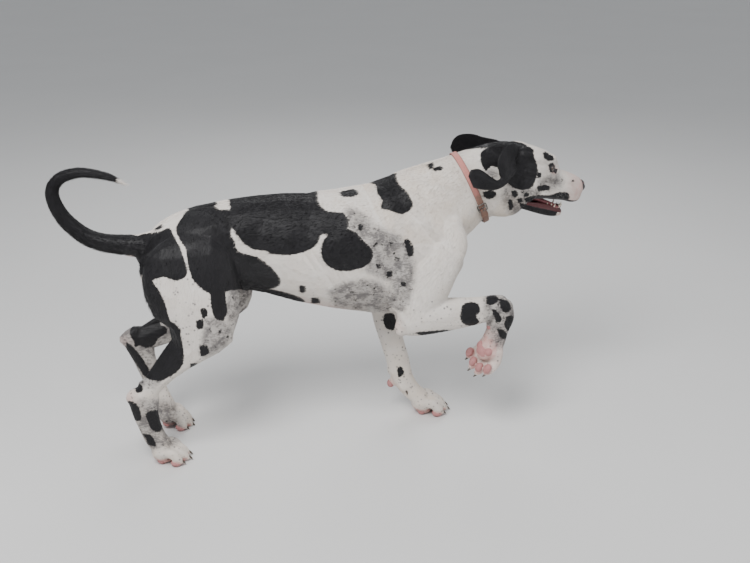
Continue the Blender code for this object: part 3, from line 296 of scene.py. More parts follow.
HIND_LEFT = {
    "thigh": [
        (-0.24, 0.056, 0.585, 0.03, 0.06, 0.07),
        (-0.235, 0.07, 0.56, 0.046, 0.09, 0.112),
        (-0.23, 0.08, 0.52, 0.052, 0.104, 0.13),
        (-0.22, 0.088, 0.48, 0.053, 0.112, 0.134),
        (-0.212, 0.095, 0.44, 0.05, 0.114, 0.128),
        (-0.202, 0.1, 0.4, 0.045, 0.108, 0.112),
        (-0.196, 0.101, 0.362, 0.04, 0.092, 0.09),
        (-0.202, 0.101, 0.332, 0.034, 0.072, 0.066),
    ],
    "gaskin": [
        (-0.165, 0.101, 0.352, 0.04, 0.05, 0.066),
        (-0.222, 0.099, 0.326, 0.036, 0.044, 0.054),
        (-0.282, 0.095, 0.3, 0.029, 0.036, 0.042),
        (-0.34, 0.09, 0.279, 0.024, 0.036, 0.031),
        (-0.385, 0.087, 0.271, 0.022, 0.036, 0.028),
        (-0.416, 0.085, 0.268, 0.021, 0.03, 0.026),
    ],
    "pastern": [
        (-0.428, 0.085, 0.284, 0.02, 0.03, 0.022),
        (-0.414, 0.085, 0.258, 0.021, 0.042, 0.032),
        (-0.398, 0.085, 0.214, 0.02, 0.033, 0.03),
        (-0.384, 0.085, 0.163, 0.018, 0.025, 0.027),
        (-0.368, 0.085, 0.108, 0.02, 0.026, 0.026),
        (-0.35, 0.085, 0.058, 0.026, 0.026, 0.025),
    ],
}

# Paws: the knuckle's centre, the way the toes point, and the way their tops face
PAWS = {
    "fore_right": ((0.488, -0.1, 0.248), (-0.42, 0.1, -0.9), (0.8, 0.5, -0.3), 1.0),
    "fore_left": ((0.345, 0.044, 0.0325), (1.0, 0.02, -0.1), (0.1, 0.0, 1.0), 1.0),
    "hind_right": ((-0.358, -0.09, 0.031), (1.0, -0.02, -0.1), (0.1, 0.0, 1.0), 0.94),
    "hind_left": ((-0.345, 0.085, 0.037), (0.96, 0.02, -0.28), (0.28, 0.0, 0.96), 0.94),
}
# Each toe in the paw's own axes: sideways place, reach, and sideways spread at the tip
TOES = [(-0.03, 0.05, -0.006), (-0.0105, 0.068, -0.002), (0.0105, 0.068, 0.002), (0.03, 0.05, 0.006)]
TOE_RADIUS = 0.0125


def paw_axes(name):
    """The matrix that carries a paw's own axes, toes along x and tops along z, to the body's."""
    origin, forward, top, size = PAWS[name]
    x = Vector(forward).normalized()
    z = (Vector(top) - Vector(top).dot(x) * x).normalized()
    y = z.cross(x)
    turn = Matrix((x, y, z)).transposed().to_4x4()
    return Matrix.Translation(Vector(origin)) @ turn @ Matrix.Diagonal((size, size, size, 1))


def add_toe(bm, y, reach, spread):
    """Adds one arched toe along x, with its knuckle raised and its pad below."""
    r = TOE_RADIUS
    stations = [
        (-0.015, y * 0.8, 0.004, r, r * 1.0, r * 1.1),
        (reach * 0.3, y + spread * 0.3, 0.009, r * 1.02, r * 1.1, r * 1.2),
        (reach * 0.6, y + spread * 0.6, 0.004, r * 1.05, r * 1.1, r * 1.3),
        (reach * 0.86, y + spread, -0.009, r * 0.98, r * 0.95, r * 1.0),
        (reach * 1.0, y + spread, -0.016, r * 0.66, r * 0.6, r * 0.75),
    ]
    add_loft(bm, stations, steps=4, cap=0.8)
    add_blob(bm, (reach * 0.72, y + spread, -0.018), (r * 1.15, r * 0.88, r * 0.75))


def add_paw(bm, name):
    """Adds the toes, their pads and the large pad behind them, in place."""
    part = bmesh.new()
    for y, reach, spread in TOES:
        add_toe(part, y, reach, spread)
    add_blob(part, (-0.002, 0, -0.002), (0.03, 0.037, 0.026))
    add_blob(part, (0.01, 0, -0.02), (0.02, 0.024, 0.014))
    add_blob(part, (0.002, 0.014, -0.021), (0.014, 0.012, 0.012))
    add_blob(part, (0.002, -0.014, -0.021), (0.014, 0.012, 0.012))
    bmesh.ops.transform(part, matrix=paw_axes(name), verts=part.verts)
    mesh = bpy.data.meshes.new("paw")
    part.to_mesh(mesh)
    part.free()
    bm.from_mesh(mesh)
    bpy.data.meshes.remove(mesh)


def add_trunk(bm):
    stations = [(x, 0, mid, half, top - mid, mid - low) for x, top, low, mid, half in TRUNK]
    add_loft(bm, stations, power=2.15, steps=6, cap=0.5)
    add_loft(bm, NECK, power=2.1, steps=6, cap=0.3)
    add_loft(bm, [(x, y, z, r, r, r) for x, y, z, r in TAIL], steps=5, cap=0.9)


def add_trunk_muscles(bm, side):
    """The muscles that shape the shoulder, chest, loin and croup on one side."""
    s = side
    reach = 0.378 if side == RIGHT else 0.348
    add_spindle(bm, (0.262, s * 0.04, 0.655), (reach, s * 0.086, 0.545), 0.046, 0.038)
    add_spindle(bm, (0.235, s * 0.06, 0.63), (0.33, s * 0.09, 0.5), 0.05, 0.036)
    add_spindle(bm, (0.34, s * 0.058, 0.635), (reach, s * 0.07, 0.54), 0.04, 0.034)
    add_spindle(bm, (0.358, s * 0.022, 0.545), (0.322, s * 0.055, 0.44), 0.038, 0.042)
    add_spindle(bm, (-0.15, s * 0.056, 0.596), (-0.31, s * 0.05, 0.552), 0.046, 0.04)
    add_spindle(bm, (-0.345, s * 0.042, 0.54), (-0.34, s * 0.06, 0.47), 0.036, 0.034)


def add_foreleg(bm, leg, side):
    s = side
    add_loft(bm, leg["arm"], power=2.1)
    add_loft(bm, leg["forearm"], power=2.1)
    add_loft(bm, leg["pastern"], power=2.3)
    elbow = Vector(leg["forearm"][0][:3])
    shoulder = Vector(leg["arm"][0][:3])
    triceps_top = (0.235, s * 0.078, 0.56)
    add_spindle(bm, triceps_top, elbow + Vector((-0.01, 0, 0.035)), 0.05, 0.034)
    biceps = shoulder + Vector((-0.01, 0, -0.03)), elbow + Vector((0.05, 0, 0.05))
    add_spindle(bm, *biceps, 0.034, 0.036)


def add_elbow_and_wrist(bm):
    """The bony points of both forelegs: elbow, wrist pad and the small inner claw's toe."""
    add_blob(bm, (0.252, -0.112, 0.334), (0.018, 0.018, 0.026))
    add_blob(bm, (0.222, 0.098, 0.372), (0.022, 0.018, 0.026))
    add_blob(bm, (0.486, -0.104, 0.322), (0.013, 0.011, 0.014))
    add_blob(bm, (0.262, 0.058, 0.092), (0.013, 0.011, 0.014))
    add_spindle(bm, (0.512, -0.078, 0.322), (0.502, -0.074, 0.292), 0.01, 0.008)
    add_spindle(bm, (0.28, 0.03, 0.1), (0.294, 0.026, 0.078), 0.01, 0.008)


def add_hindleg(bm, leg, side):
    s = side
    add_loft(bm, leg["thigh"], power=2.2)
    add_loft(bm, leg["gaskin"], power=2.1)
    add_loft(bm, leg["pastern"], power=2.3)
    hock = Vector(leg["pastern"][1][:3])
    heel = Vector(leg["gaskin"][-1][:3])
    calf = Vector(leg["gaskin"][1][:3])
    add_blob(bm, hock + Vector((-0.03, 0, 0.008)), (0.013, 0.013, 0.017))
    calf_back = (calf[0] - 0.045, s * 0.1, calf[2] + 0.035)
    add_spindle(bm, calf_back, heel + Vector((-0.016, 0, 0.004)), 0.01, 0.01)
    knee = leg["thigh"][4]
    knee_front = (knee[0] + knee[4] - 0.04, s * 0.1, knee[2] - 0.02)
    add_spindle(bm, (-0.2, s * 0.085, 0.56), knee_front, 0.048, 0.036)


# The skull and muzzle along the head's own x: x, centre height, half width, up, down
HEAD_CORE = [
    (-0.15, 0.004, 0.024, 0.026, 0.03),
    (-0.128, -0.004, 0.042, 0.041, 0.055),
    (-0.1, -0.01, 0.054, 0.052, 0.066),
    (-0.07, -0.014, 0.058, 0.057, 0.07),
    (-0.04, -0.016, 0.054, 0.058, 0.064),
    (-0.016, -0.02, 0.046, 0.056, 0.05),
    (0.004, -0.026, 0.039, 0.048, 0.04),
    (0.02, -0.031, 0.035, 0.039, 0.033),
    (0.04, -0.033, 0.034, 0.036, 0.03),
    (0.065, -0.033, 0.033, 0.035, 0.029),
    (0.09, -0.034, 0.031, 0.033, 0.026),
    (0.108, -0.036, 0.028, 0.029, 0.022),
    (0.119, -0.036, 0.022, 0.021, 0.019),
]
# The right upper lip, from front to back: x, y, z, half thickness, up, down
LIP = [
    (0.116, 0.008, -0.05, 0.01, 0.014, 0.01),
    (0.106, 0.02, -0.05, 0.01, 0.018, 0.015),
    (0.085, 0.029, -0.05, 0.009, 0.022, 0.02),
    (0.055, 0.034, -0.05, 0.009, 0.022, 0.021),
    (0.02, 0.039, -0.054, 0.009, 0.022, 0.02),
    (-0.015, 0.042, -0.058, 0.009, 0.022, 0.018),
    (-0.042, 0.043, -0.066, 0.01, 0.022, 0.016),
]
# The lower jaw and the throat behind it, along the head's own x
JAW = [
    (-0.06, -0.1, 0.038, 0.014, 0.02),
    (-0.02, -0.107, 0.034, 0.011, 0.015),
    (0.02, -0.11, 0.03, 0.01, 0.013),
    (0.05, -0.109, 0.026, 0.01, 0.013),
    (0.072, -0.105, 0.021, 0.01, 0.012),
    (0.081, -0.101, 0.014, 0.009, 0.01),
]
THROAT = [
    (-0.15, -0.095, 0.05, 0.06, 0.062),
    (-0.12, -0.093, 0.053, 0.06, 0.064),
    (-0.09, -0.088, 0.053, 0.058, 0.063),
    (-0.066, -0.082, 0.05, 0.05, 0.052),
    (-0.048, -0.08, 0.044, 0.042, 0.038),
]
# Each ear is a cupped leaf: x, y, z, half thickness, front or lower half, back or upper half.
# The right one hangs and its tip is flung back; the left one is thrown back over the nape.
EAR_RIGHT = [
    (-0.126, -0.038, 0.012, 0.0054, 0.02, 0.022),
    (-0.148, -0.061, 0.006, 0.0041, 0.026, 0.033),
    (-0.163, -0.074, -0.012, 0.0036, 0.031, 0.034),
    (-0.164, -0.08, -0.036, 0.0034, 0.024, 0.024),
    (-0.165, -0.082, -0.056, 0.0034, 0.014, 0.014),
    (-0.18, -0.083, -0.07, 0.0033, 0.013, 0.013),
    (-0.204, -0.083, -0.072, 0.0032, 0.018, 0.018),
    (-0.228, -0.082, -0.07, 0.0032, 0.0225, 0.0235),
    (-0.248, -0.08, -0.067, 0.0031, 0.024, 0.024),
    (-0.264, -0.077, -0.065, 0.003, 0.015, 0.015),
]
EAR_LEFT = [
    (-0.118, 0.038, 0.012, 0.0054, 0.022, 0.018),
    (-0.132, 0.064, 0.008, 0.004, 0.024, 0.023),
    (-0.157, 0.09, -0.002, 0.0034, 0.028, 0.03),
    (-0.184, 0.098, -0.01, 0.0033, 0.031, 0.036),
    (-0.2, 0.104, -0.02, 0.0032, 0.03, 0.038),
    (-0.213, 0.107, -0.036, 0.003, 0.021, 0.024),
]
EAR_CUP = 0.005            # how far the edges of an ear curl towards the head


def head_matrix():
    """Carries the head's own axes, x to the nose and z up, to the body's."""
    turn = Matrix.Rotation(HEAD_YAW, 4, "Z") @ Matrix.Rotation(HEAD_DOWN, 4, "Y")
    return Matrix.Translation(STOP) @ turn @ Matrix.Rotation(HEAD_ROLL, 4, "X")


def on_midline(rows):
    return [(x, 0, z, side, up, down) for x, z, side, up, down in rows]


def add_skull(bm):
    add_loft(bm, on_midline(HEAD_CORE), power=2.5, cap=0.3)
    add_loft(bm, on_midline(THROAT), power=2.2, cap=0.3)
    for s in (RIGHT, LEFT):
        add_blob(bm, (-0.018, s * 0.029, 0.023), (0.018, 0.016, 0.013))
        add_blob(bm, (-0.072, s * 0.03, 0.014), (0.052, 0.03, 0.029))
        add_blob(bm, (-0.066, s * 0.04, -0.058), (0.042, 0.022, 0.044))
        add_spindle(bm, (0.012, s * 0.032, -0.02), (-0.086, s * 0.052, -0.022), 0.013, 0.012)
        add_blob(bm, EYE_AT * Vector((1, s, 1)), [EYE_RADIUS + 0.003] * 3)


def add_lips(bm):
    for s in (RIGHT, LEFT):
        add_loft(bm, [(x, s * y, z, t, up, down) for x, y, z, t, up, down in LIP], cap=0.8)


def add_jaw(bm):
    add_loft(bm, on_midline(JAW), power=2.6, cap=0.5)
    for s in (RIGHT, LEFT):
        add_spindle(bm, (-0.045, s * 0.036, -0.1), (0.068, s * 0.017, -0.098), 0.01, 0.006, overrun=0.02)

def add_ears(bm):
    add_loft(bm, EAR_RIGHT, power=3.2, steps=6, cap=0.9, cup=EAR_CUP)
    add_loft(bm, EAR_LEFT, power=3.2, steps=6, cap=0.9, cup=-EAR_CUP)


def append_mesh(bm, part, matrix):
    """Adds a finished bmesh to another, placed by a matrix."""
    bmesh.ops.transform(part, matrix=matrix, verts=part.verts)
    mesh = bpy.data.meshes.new("part")
    part.to_mesh(mesh)
    part.free()
    bm.from_mesh(mesh)
    bpy.data.meshes.remove(mesh)


def bake(obj):
    """Replaces the object's mesh with the result of its modifiers."""
    graph = bpy.context.evaluated_depsgraph_get()
    mesh = bpy.data.meshes.new_from_object(obj.evaluated_get(graph))
    old = obj.data
    obj.modifiers.clear()
    obj.data = mesh
    bpy.data.meshes.remove(old)


def points_of(obj):
    flat = np.empty(len(obj.data.vertices) * 3)
    obj.data.vertices.foreach_get("co", flat)
    return flat.reshape(-1, 3)


def normals_of(obj):
    flat = np.empty(len(obj.data.vertices) * 3)
    obj.data.vertices.foreach_get("normal", flat)
    return flat.reshape(-1, 3)


def move_points(obj, points):
    obj.data.vertices.foreach_set("co", points.ravel())
    obj.data.update()


def carried(points, matrix):
    """An array of points moved by a matrix."""
    m = np.array(matrix)
    return points @ m[:3, :3].T + m[:3, 3]


def weigh(obj, name, weights, levels=8):
    """A vertex group with the given weights, in a few even steps."""
    group = obj.vertex_groups.new(name=name)
    step = np.rint(np.clip(weights, 0, 1) * levels).astype(int)
    for level in range(1, levels + 1):
        group.add(np.flatnonzero(step == level).tolist(), level / levels, "REPLACE")


def fineness(points):
    """How much detail each place needs: 1 on the head and paws, falling to 0 on the trunk."""
    local = carried(points, head_matrix().inverted())
    fine = np.clip((local[:, 0] + 0.3) / 0.12, 0, 1)
    for name in PAWS:
        away = np.linalg.norm(points - np.array(paw_axes(name).translation), axis=1)
        fine = np.maximum(fine, np.clip((0.2 - away) / 0.1, 0, 1))
    tail = np.clip((-0.4 - points[:, 0]) / 0.04, 0, 1) * np.clip((points[:, 2] - 0.48) / 0.04, 0, 1)
    return np.maximum(fine, tail)


def line_distance(points, line):
    """How far each point lies from a line of several stretches."""
    best = np.full(len(points), 1e9)
    line = np.array(line, float)
    for a, b in zip(line, line[1:]):
        along = b - a
        t = np.clip((points - a) @ along / (along @ along), 0, 1)
        best = np.minimum(best, np.linalg.norm(points - a - t[:, None] * along, axis=1))
    return best


def ease(values, low, high):
    """0 below low, 1 above high, and smooth between them."""
    t = np.clip((values - low) / (high - low), 0, 1)
    return t * t * (3 - 2 * t)


def fused(name, bm, voxel, soften, collection=None):
    """Overlapping forms joined into one surface on a fine grid, and softened."""
    obj = mesh_object(name, bm, collection or bpy.context.scene.collection)
    remesh = obj.modifiers.new("Fuse", "REMESH")
    remesh.mode = "VOXEL"
    remesh.voxel_size = voxel
    if soften:
        smooth = obj.modifiers.new("Soften", "SMOOTH")
        smooth.iterations = soften
    bake(obj)
    return obj


def thin_out(obj, triangles, group=""):
    decimate = obj.modifiers.new("Thin out", "DECIMATE")
    decimate.vertex_group = group
    decimate.ratio = min(1.0, triangles / (2 * len(obj.data.polygons)))
    bake(obj)


def split_long(obj, longest):
    """Splits edges until none is longer than that, so that the markings find points all over the form."""
    bm = bmesh.new()
    bm.from_mesh(obj.data)
    for _ in range(SPLITS):
        long_edges = [e for e in bm.edges if e.calc_length() > longest]
        bmesh.ops.subdivide_edges(bm, edges=long_edges, cuts=1)
        bmesh.ops.triangulate(bm, faces=[f for f in bm.faces if len(f.verts) > 3])
    bm.to_mesh(obj.data)
    bm.free()


def trimmed(obj, place, facing):
    """Cuts away what lies before a plane, and closes the cut."""
    bm = bmesh.new()
    bm.from_mesh(obj.data)
    cut = bmesh.ops.bisect_plane(bm, geom=bm.verts[:] + bm.edges[:] + bm.faces[:], plane_co=place,
                                 plane_no=facing, clear_outer=True)
    rim = [e for e in cut["geom_cut"] if isinstance(e, bmesh.types.BMEdge)]
    bmesh.ops.contextual_create(bm, geom=rim)
    bmesh.ops.triangulate(bm, faces=[f for f in bm.faces if len(f.verts) > 4])
    bmesh.ops.recalc_face_normals(bm, faces=bm.faces)
    bm.to_mesh(obj.data)
    bm.free()


# Folds of the body's skin: where each runs, how far it rises or sinks, and how wide it is
BODY_FOLDS = {
    "shoulder blade's ridge": ([(0.268, 0.062, 0.665), (0.325, 0.098, 0.59), (0.372, 0.108, 0.53)], 0.003,
                               0.013),
    "before the blade": ([(0.312, 0.066, 0.672), (0.366, 0.092, 0.6), (0.402, 0.092, 0.548)], -0.0035, 0.014),
    "behind the blade": ([(0.205, 0.085, 0.64), (0.232, 0.122, 0.56), (0.262, 0.13, 0.47)], -0.004, 0.016),
    "behind the upper arm": ([(0.232, 0.135, 0.47), (0.226, 0.13, 0.415), (0.232, 0.118, 0.372)], -0.004,
                             0.011),
    "elbow fold, upper": ([(0.2, 0.125, 0.42), (0.222, 0.13, 0.398), (0.246, 0.135, 0.392)], 0.003, 0.006),
    "elbow fold, lower": ([(0.188, 0.115, 0.392), (0.212, 0.122, 0.374), (0.236, 0.128, 0.368)], 0.0026,
                          0.006),
    "last rib": ([(-0.01, 0.085, 0.6), (-0.05, 0.112, 0.54), (-0.02, 0.105, 0.455)], 0.0016, 0.01),
    "flank hollow": ([(-0.085, 0.09, 0.61), (-0.115, 0.105, 0.56), (-0.125, 0.105, 0.52)], -0.0055, 0.03),
    "flank fold": ([(-0.098, 0.108, 0.48), (-0.118, 0.118, 0.44), (-0.128, 0.122, 0.41)], 0.0032, 0.011),
    "before the thigh": ([(-0.128, 0.105, 0.54), (-0.142, 0.128, 0.48), (-0.14, 0.13, 0.425)], -0.0034,
                         0.012),
    "thigh's long groove": ([(-0.3, 0.095, 0.56), (-0.292, 0.138, 0.48), (-0.3, 0.138, 0.39)], -0.0034,
                            0.012),
    "thigh's front muscle": ([(-0.205, 0.11, 0.555), (-0.188, 0.14, 0.48), (-0.18, 0.138, 0.41)], 0.003,
                             0.022),
    "back's middle furrow": ([(0.12, 0.0, 0.668), (-0.02, 0.0, 0.666), (-0.2, 0.0, 0.648)], -0.0016, 0.012),
    "hip bone": ([(-0.17, 0.06, 0.64), (-0.2, 0.074, 0.618)], 0.0045, 0.016),
    "neck's long muscle": ([(0.5, 0.066, 0.69), (0.44, 0.074, 0.64), (0.392, 0.08, 0.56)], 0.0022, 0.02),
    "neck's vein groove": ([(0.5, 0.054, 0.64), (0.455, 0.064, 0.59), (0.42, 0.062, 0.53)], -0.003, 0.01),
}
# Hollows beside the heel tendons, and the ridges of bone and tendon on the legs, where each leg has them
LEG_FOLDS = {
    "right heel hollow": ([(-0.3, 0.105, 0.318), (-0.345, 0.101, 0.262), (-0.38, 0.098, 0.228)], -0.0036,
                          0.009),
    "left heel hollow": ([(-0.27, 0.11, 0.33), (-0.33, 0.104, 0.298), (-0.385, 0.1, 0.286)], -0.0036, 0.009),
    "right metatarsus": ([(-0.4, 0.104, 0.18), (-0.396, 0.104, 0.12), (-0.384, 0.104, 0.075)], -0.0018,
                         0.006),
    "left metatarsus": ([(-0.414, 0.1, 0.24), (-0.39, 0.1, 0.15), (-0.366, 0.1, 0.09)], -0.0018, 0.006),
    "right forearm": ([(0.3, 0.142, 0.352), (0.38, 0.14, 0.356), (0.46, 0.13, 0.36)], -0.0022, 0.009),
    "left forearm": ([(0.236, 0.118, 0.33), (0.246, 0.108, 0.25), (0.264, 0.09, 0.18)], -0.0022, 0.009),
}
RIBS = 9
RIB_STEP = 0.027
RIB_RISE = 0.0009


def sink_folds(points, normals, folds, sides):
    """Moves points out or in along the named folds, on each side given."""
    rise = np.zeros(len(points))
    for line, height, width in folds.values():
        for s in sides:
            near = line_distance(points * (1, s, 1), line)
            rise += height * np.exp(-(near / width) ** 2)
    return points + normals * rise[:, None]


def add_ribs(points, normals):
    """The faint bars of the ribs over the side of the chest."""
    lean = points[:, 0] + (points[:, 2] - 0.5) * 0.45
    wave = np.cos(2 * math.pi * (lean - 0.02) / RIB_STEP)
    inside = ease(lean, -0.02, 0.05) * (1 - ease(lean, -0.02 + RIBS * RIB_STEP - 0.04, RIBS * RIB_STEP))
    inside *= ease(points[:, 2], 0.4, 0.47) * (1 - ease(points[:, 2], 0.56, 0.62))
    inside *= ease(np.abs(points[:, 1]), 0.07, 0.1)
    return points + normals * (RIB_RISE * wave * inside)[:, None]


def ear_distance(points, rows, cup):
    """How far each point of the frame lies from one ear's form, as it is before the hair."""
    bm = bmesh.new()
    add_loft(bm, rows, power=3.2, steps=6, cap=0.9, cup=cup)
    bmesh.ops.transform(bm, matrix=head_matrix(), verts=bm.verts)
    tree = BVHTree.FromBMesh(bm)
    bm.free()
    middle = np.array(head_matrix() @ Vector(rows[len(rows) // 2][:3]))
    away = np.full(len(points), 1.0)
    for k in np.flatnonzero(np.linalg.norm(points - middle, axis=1) < 0.15):
        away[k] = tree.find_nearest(points[k])[3]
    return away


def ears_distance(points):
    """How far each point lies from the nearer ear's form."""
    return np.minimum(ear_distance(points, EAR_RIGHT, EAR_CUP), ear_distance(points, EAR_LEFT, -EAR_CUP))


def body_skin():
    """The skin from the tail's tip to under the collar."""
    bm = bmesh.new()
    add_trunk(bm)
    for side in (RIGHT, LEFT):
        add_trunk_muscles(bm, side)
    add_foreleg(bm, FORE_RIGHT, RIGHT)
    add_foreleg(bm, FORE_LEFT, LEFT)
    add_elbow_and_wrist(bm)
    add_hindleg(bm, HIND_RIGHT, RIGHT)
    add_hindleg(bm, HIND_LEFT, LEFT)
    for name in PAWS:
        add_paw(bm, name)
    obj = fused("skin", bm, BODY_VOXEL, 0)
    fine = fineness(points_of(obj))
    weigh(obj, "smooth", 1 - 0.8 * fine)
    weigh(obj, "thin_out", 1 - 0.5 * fine)
    for name, times, group in (("Soften", 4, ""), ("Round", 45, "smooth")):
        smooth = obj.modifiers.new(name, "SMOOTH")
        smooth.iterations = times
        smooth.vertex_group = group
    bake(obj)
    points = points_of(obj) - normals_of(obj) * COAT_DEPTH
    points = sink_folds(points, normals_of(obj), BODY_FOLDS, (RIGHT, LEFT))
    for word, side in (("right", RIGHT), ("left", LEFT)):
        folds = {name: fold for name, fold in LEG_FOLDS.items() if word in name}
        points = sink_folds(points, normals_of(obj), folds, (side,))
    points = add_ribs(points, normals_of(obj))
    points[:, 2] = np.maximum(points[:, 2], FLOOR_CLEAR)
    move_points(obj, points)
    thin_out(obj, BODY_TRIANGLES, "thin_out")
    split_long(obj, LONGEST)
    obj.vertex_groups.clear()
    trimmed(obj, COLLAR_AT + COLLAR_FACING * COLLAR_LAP, COLLAR_FACING)
    return obj


FLOOR_CLEAR = 0.0004       # the soles' flats keep this far above the floor
BODY_TRIANGLES = 190000
HEAD_TRIANGLES = 170000
LONGEST = 0.0065           # longest edge of the skin
SPLITS = 6
COLLAR_LAP = 0.005         # how far the two halves of the skin pass each other under the strap
COLLAR_AT = Vector((0.446, 0.0, 0.657))
COLLAR_FACING = Vector((0.906, 0.0, 0.423)).normalized()


def gaze_matrix(side):
    """Carries x along the gaze, y across and z up to the head's own axes, at the middle of one eye."""
    turn = Matrix.Rotation(side * GAZE, 4, "Z") @ Matrix.Rotation(math.radians(-4), 4, "Y")
    return Matrix.Translation(EYE_AT * Vector((1, side, 1))) @ turn


# The almond between the lids, in turns about the eye's middle: yaw runs to the inner corner
LID_BACK, LID_FRONT = math.radians(-66), math.radians(60)
LID_UP, LID_DOWN = math.radians(33), math.radians(36)
LID_TILT = 0.16            # how much lower the inner corner lies
LID_THICK = 0.0021         # how far the lids stand off the eyeball
LID_REACH = 0.03          # how far from the eye's middle the lids shape the skin
LID_TURN = 1.75            # and how far round from the gaze
CORNEA_RISE = 0.065        # how much the clear front bulges, as a share of the radius
CORNEA_TURN = 0.55


def lid_edges(yaw):
    """The pitch of the upper and the lower lid's edge at each yaw."""
    share = np.where(yaw < 0, yaw / LID_BACK, yaw / LID_FRONT)
    open_ = np.clip(1 - np.abs(share) ** 2.3, 0, 1)
    middle = -LID_TILT * yaw
    return middle + LID_UP * open_, middle - LID_DOWN * open_ ** 0.9


def round_eye(local, side, to_gaze):
    """Places seen from one eye: vectors, how far, turned how far, how far outside the opening, upper or not."""
    g = carried(local, to_gaze)
    r = np.linalg.norm(g, axis=1)
    yaw = np.arctan2(-side * g[:, 1], g[:, 0])
    pitch = np.arcsin(np.clip(g[:, 2] / r, -1, 1))
    top, low = lid_edges(yaw)
    beyond = np.maximum(np.maximum(yaw - LID_FRONT, LID_BACK - yaw), 0)
    gap = np.maximum(pitch - top, low - pitch)
    gap = np.where(beyond > 0, np.hypot(beyond, np.maximum(gap, 0)), gap)
    return g, r, yaw, gap, pitch > (top + low) / 2


def open_eyes(local):
    """Opens the lids: skin within the almond goes back behind the eyeball, and round it forms the lids."""
    for side in (RIGHT, LEFT):
        to_gaze = gaze_matrix(side).inverted()
        g, r, yaw, gap, upper = round_eye(local, side, to_gaze)
        gap = gap * EYE_RADIUS
        lid = LID_THICK + np.where(upper, 0.0006, 0.0)
        hold = np.exp(-(np.maximum(gap, 0) / 0.0042) ** 2)
        wanted = r * (1 - hold) + (EYE_RADIUS + lid) * hold
        crease = np.where(upper, 0.0011, 0.0008) * np.exp(-((gap - np.where(upper, 0.0052,
                                                                            0.0047)) / 0.0013) ** 2)
        wanted -= crease
        wanted = np.where(gap < -0.0002, EYE_RADIUS - 0.0035, wanted)
        reach = (r < LID_REACH) & (np.abs(yaw) < LID_TURN)
        moved = carried(g * (wanted / r)[:, None], to_gaze.inverted())
        local = np.where(reach[:, None], moved, local)
    return local


# Folds of the head's skin in its own axes, on both sides
HEAD_FOLDS = {
    "forehead furrow": ([(0.0, 0.0, 0.022), (-0.04, 0.0, 0.04), (-0.085, 0.0, 0.044)], -0.003, 0.0065),
    "stop": ([(0.012, 0.012, 0.016), (0.014, 0.0, 0.014), (0.012, -0.012, 0.016)], -0.0016, 0.006),
    "brow": ([(0.006, 0.022, 0.018), (-0.014, 0.031, 0.026), (-0.034, 0.037, 0.022)], 0.0022, 0.0055),
    "over the brow": ([(-0.01, 0.018, 0.036), (-0.034, 0.028, 0.037), (-0.052, 0.04, 0.026)], -0.0012, 0.004),
    "tear line": ([(0.004, 0.036, -0.01), (0.02, 0.037, -0.02), (0.046, 0.036, -0.026)], -0.002, 0.005),
    "under the eye": ([(0.0, 0.042, -0.014), (-0.018, 0.048, -0.02), (-0.036, 0.05, -0.016)], -0.0011,
                      0.0028),
    "muzzle's side": ([(0.1, 0.028, -0.022), (0.06, 0.035, -0.03), (0.022, 0.04, -0.038)], -0.0014, 0.006),
    "cheek's front edge": ([(-0.018, 0.05, -0.03), (-0.022, 0.053, -0.06), (-0.036, 0.048, -0.088)], -0.0026,
                           0.0065),
    "cheek's lower edge": ([(-0.04, 0.046, -0.108), (-0.07, 0.052, -0.112), (-0.105, 0.054, -0.1)], -0.0028,
                           0.0065),
    "lip's crease": ([(0.09, 0.038, -0.05), (0.05, 0.043, -0.052), (0.005, 0.048, -0.056)], -0.0009, 0.004),
    "mouth's corner 1": ([(-0.04, 0.05, -0.086), (-0.054, 0.052, -0.096), (-0.062, 0.048, -0.112)], -0.0024,
                         0.003),
    "mouth's corner 2": ([(-0.03, 0.051, -0.072), (-0.05, 0.056, -0.082), (-0.066, 0.056, -0.096)], -0.0014,
                         0.003),
    "throat wrinkle 1": ([(-0.12, 0.054, -0.12), (-0.1, 0.04, -0.152), (-0.092, 0.0, -0.16)], -0.003, 0.004),
    "throat wrinkle 2": ([(-0.1, 0.052, -0.112), (-0.08, 0.038, -0.14), (-0.074, 0.0, -0.148)], -0.0022,
                         0.0036),
    "behind the cheek": ([(-0.122, 0.058, -0.03), (-0.124, 0.06, -0.07), (-0.118, 0.056, -0.105)], -0.0026,
                         0.007),
    "temple": ([(-0.04, 0.044, 0.012), (-0.062, 0.05, 0.006), (-0.086, 0.052, 0.004)], -0.0028, 0.009),
}
# Folds of the ears' flaps
EAR_FOLDS = {
    "right flap, front rim": ([(-0.131, -0.052, 0.02), (-0.138, -0.064, -0.006), (-0.144, -0.079, -0.034)],
                              0.002, 0.004),
    "right flap, hollow": ([(-0.146, -0.066, 0.014), (-0.157, -0.078, -0.01), (-0.161, -0.084, -0.034)],
                           -0.002, 0.005),
    "right flap, back": ([(-0.17, -0.072, 0.012), (-0.182, -0.079, -0.01), (-0.178, -0.084, -0.034)], 0.0014,
                         0.004),
    "right waist": ([(-0.152, -0.085, -0.054), (-0.168, -0.086, -0.058), (-0.186, -0.087, -0.06)], -0.002,
                    0.0035),
    "right lobe 1": ([(-0.176, -0.087, -0.07), (-0.21, -0.087, -0.064), (-0.25, -0.084, -0.058)], 0.0016,
                     0.005),
    "right lobe 2": ([(-0.186, -0.087, -0.08), (-0.215, -0.087, -0.082), (-0.248, -0.084, -0.08)], -0.0014,
                     0.0045),
    "left flap 1": ([(-0.13, 0.068, 0.02), (-0.16, 0.094, 0.012), (-0.196, 0.104, 0.004)], 0.0018, 0.005),
    "left flap 2": ([(-0.14, 0.07, -0.006), (-0.166, 0.096, -0.018), (-0.2, 0.106, -0.034)], -0.0018, 0.005),
}
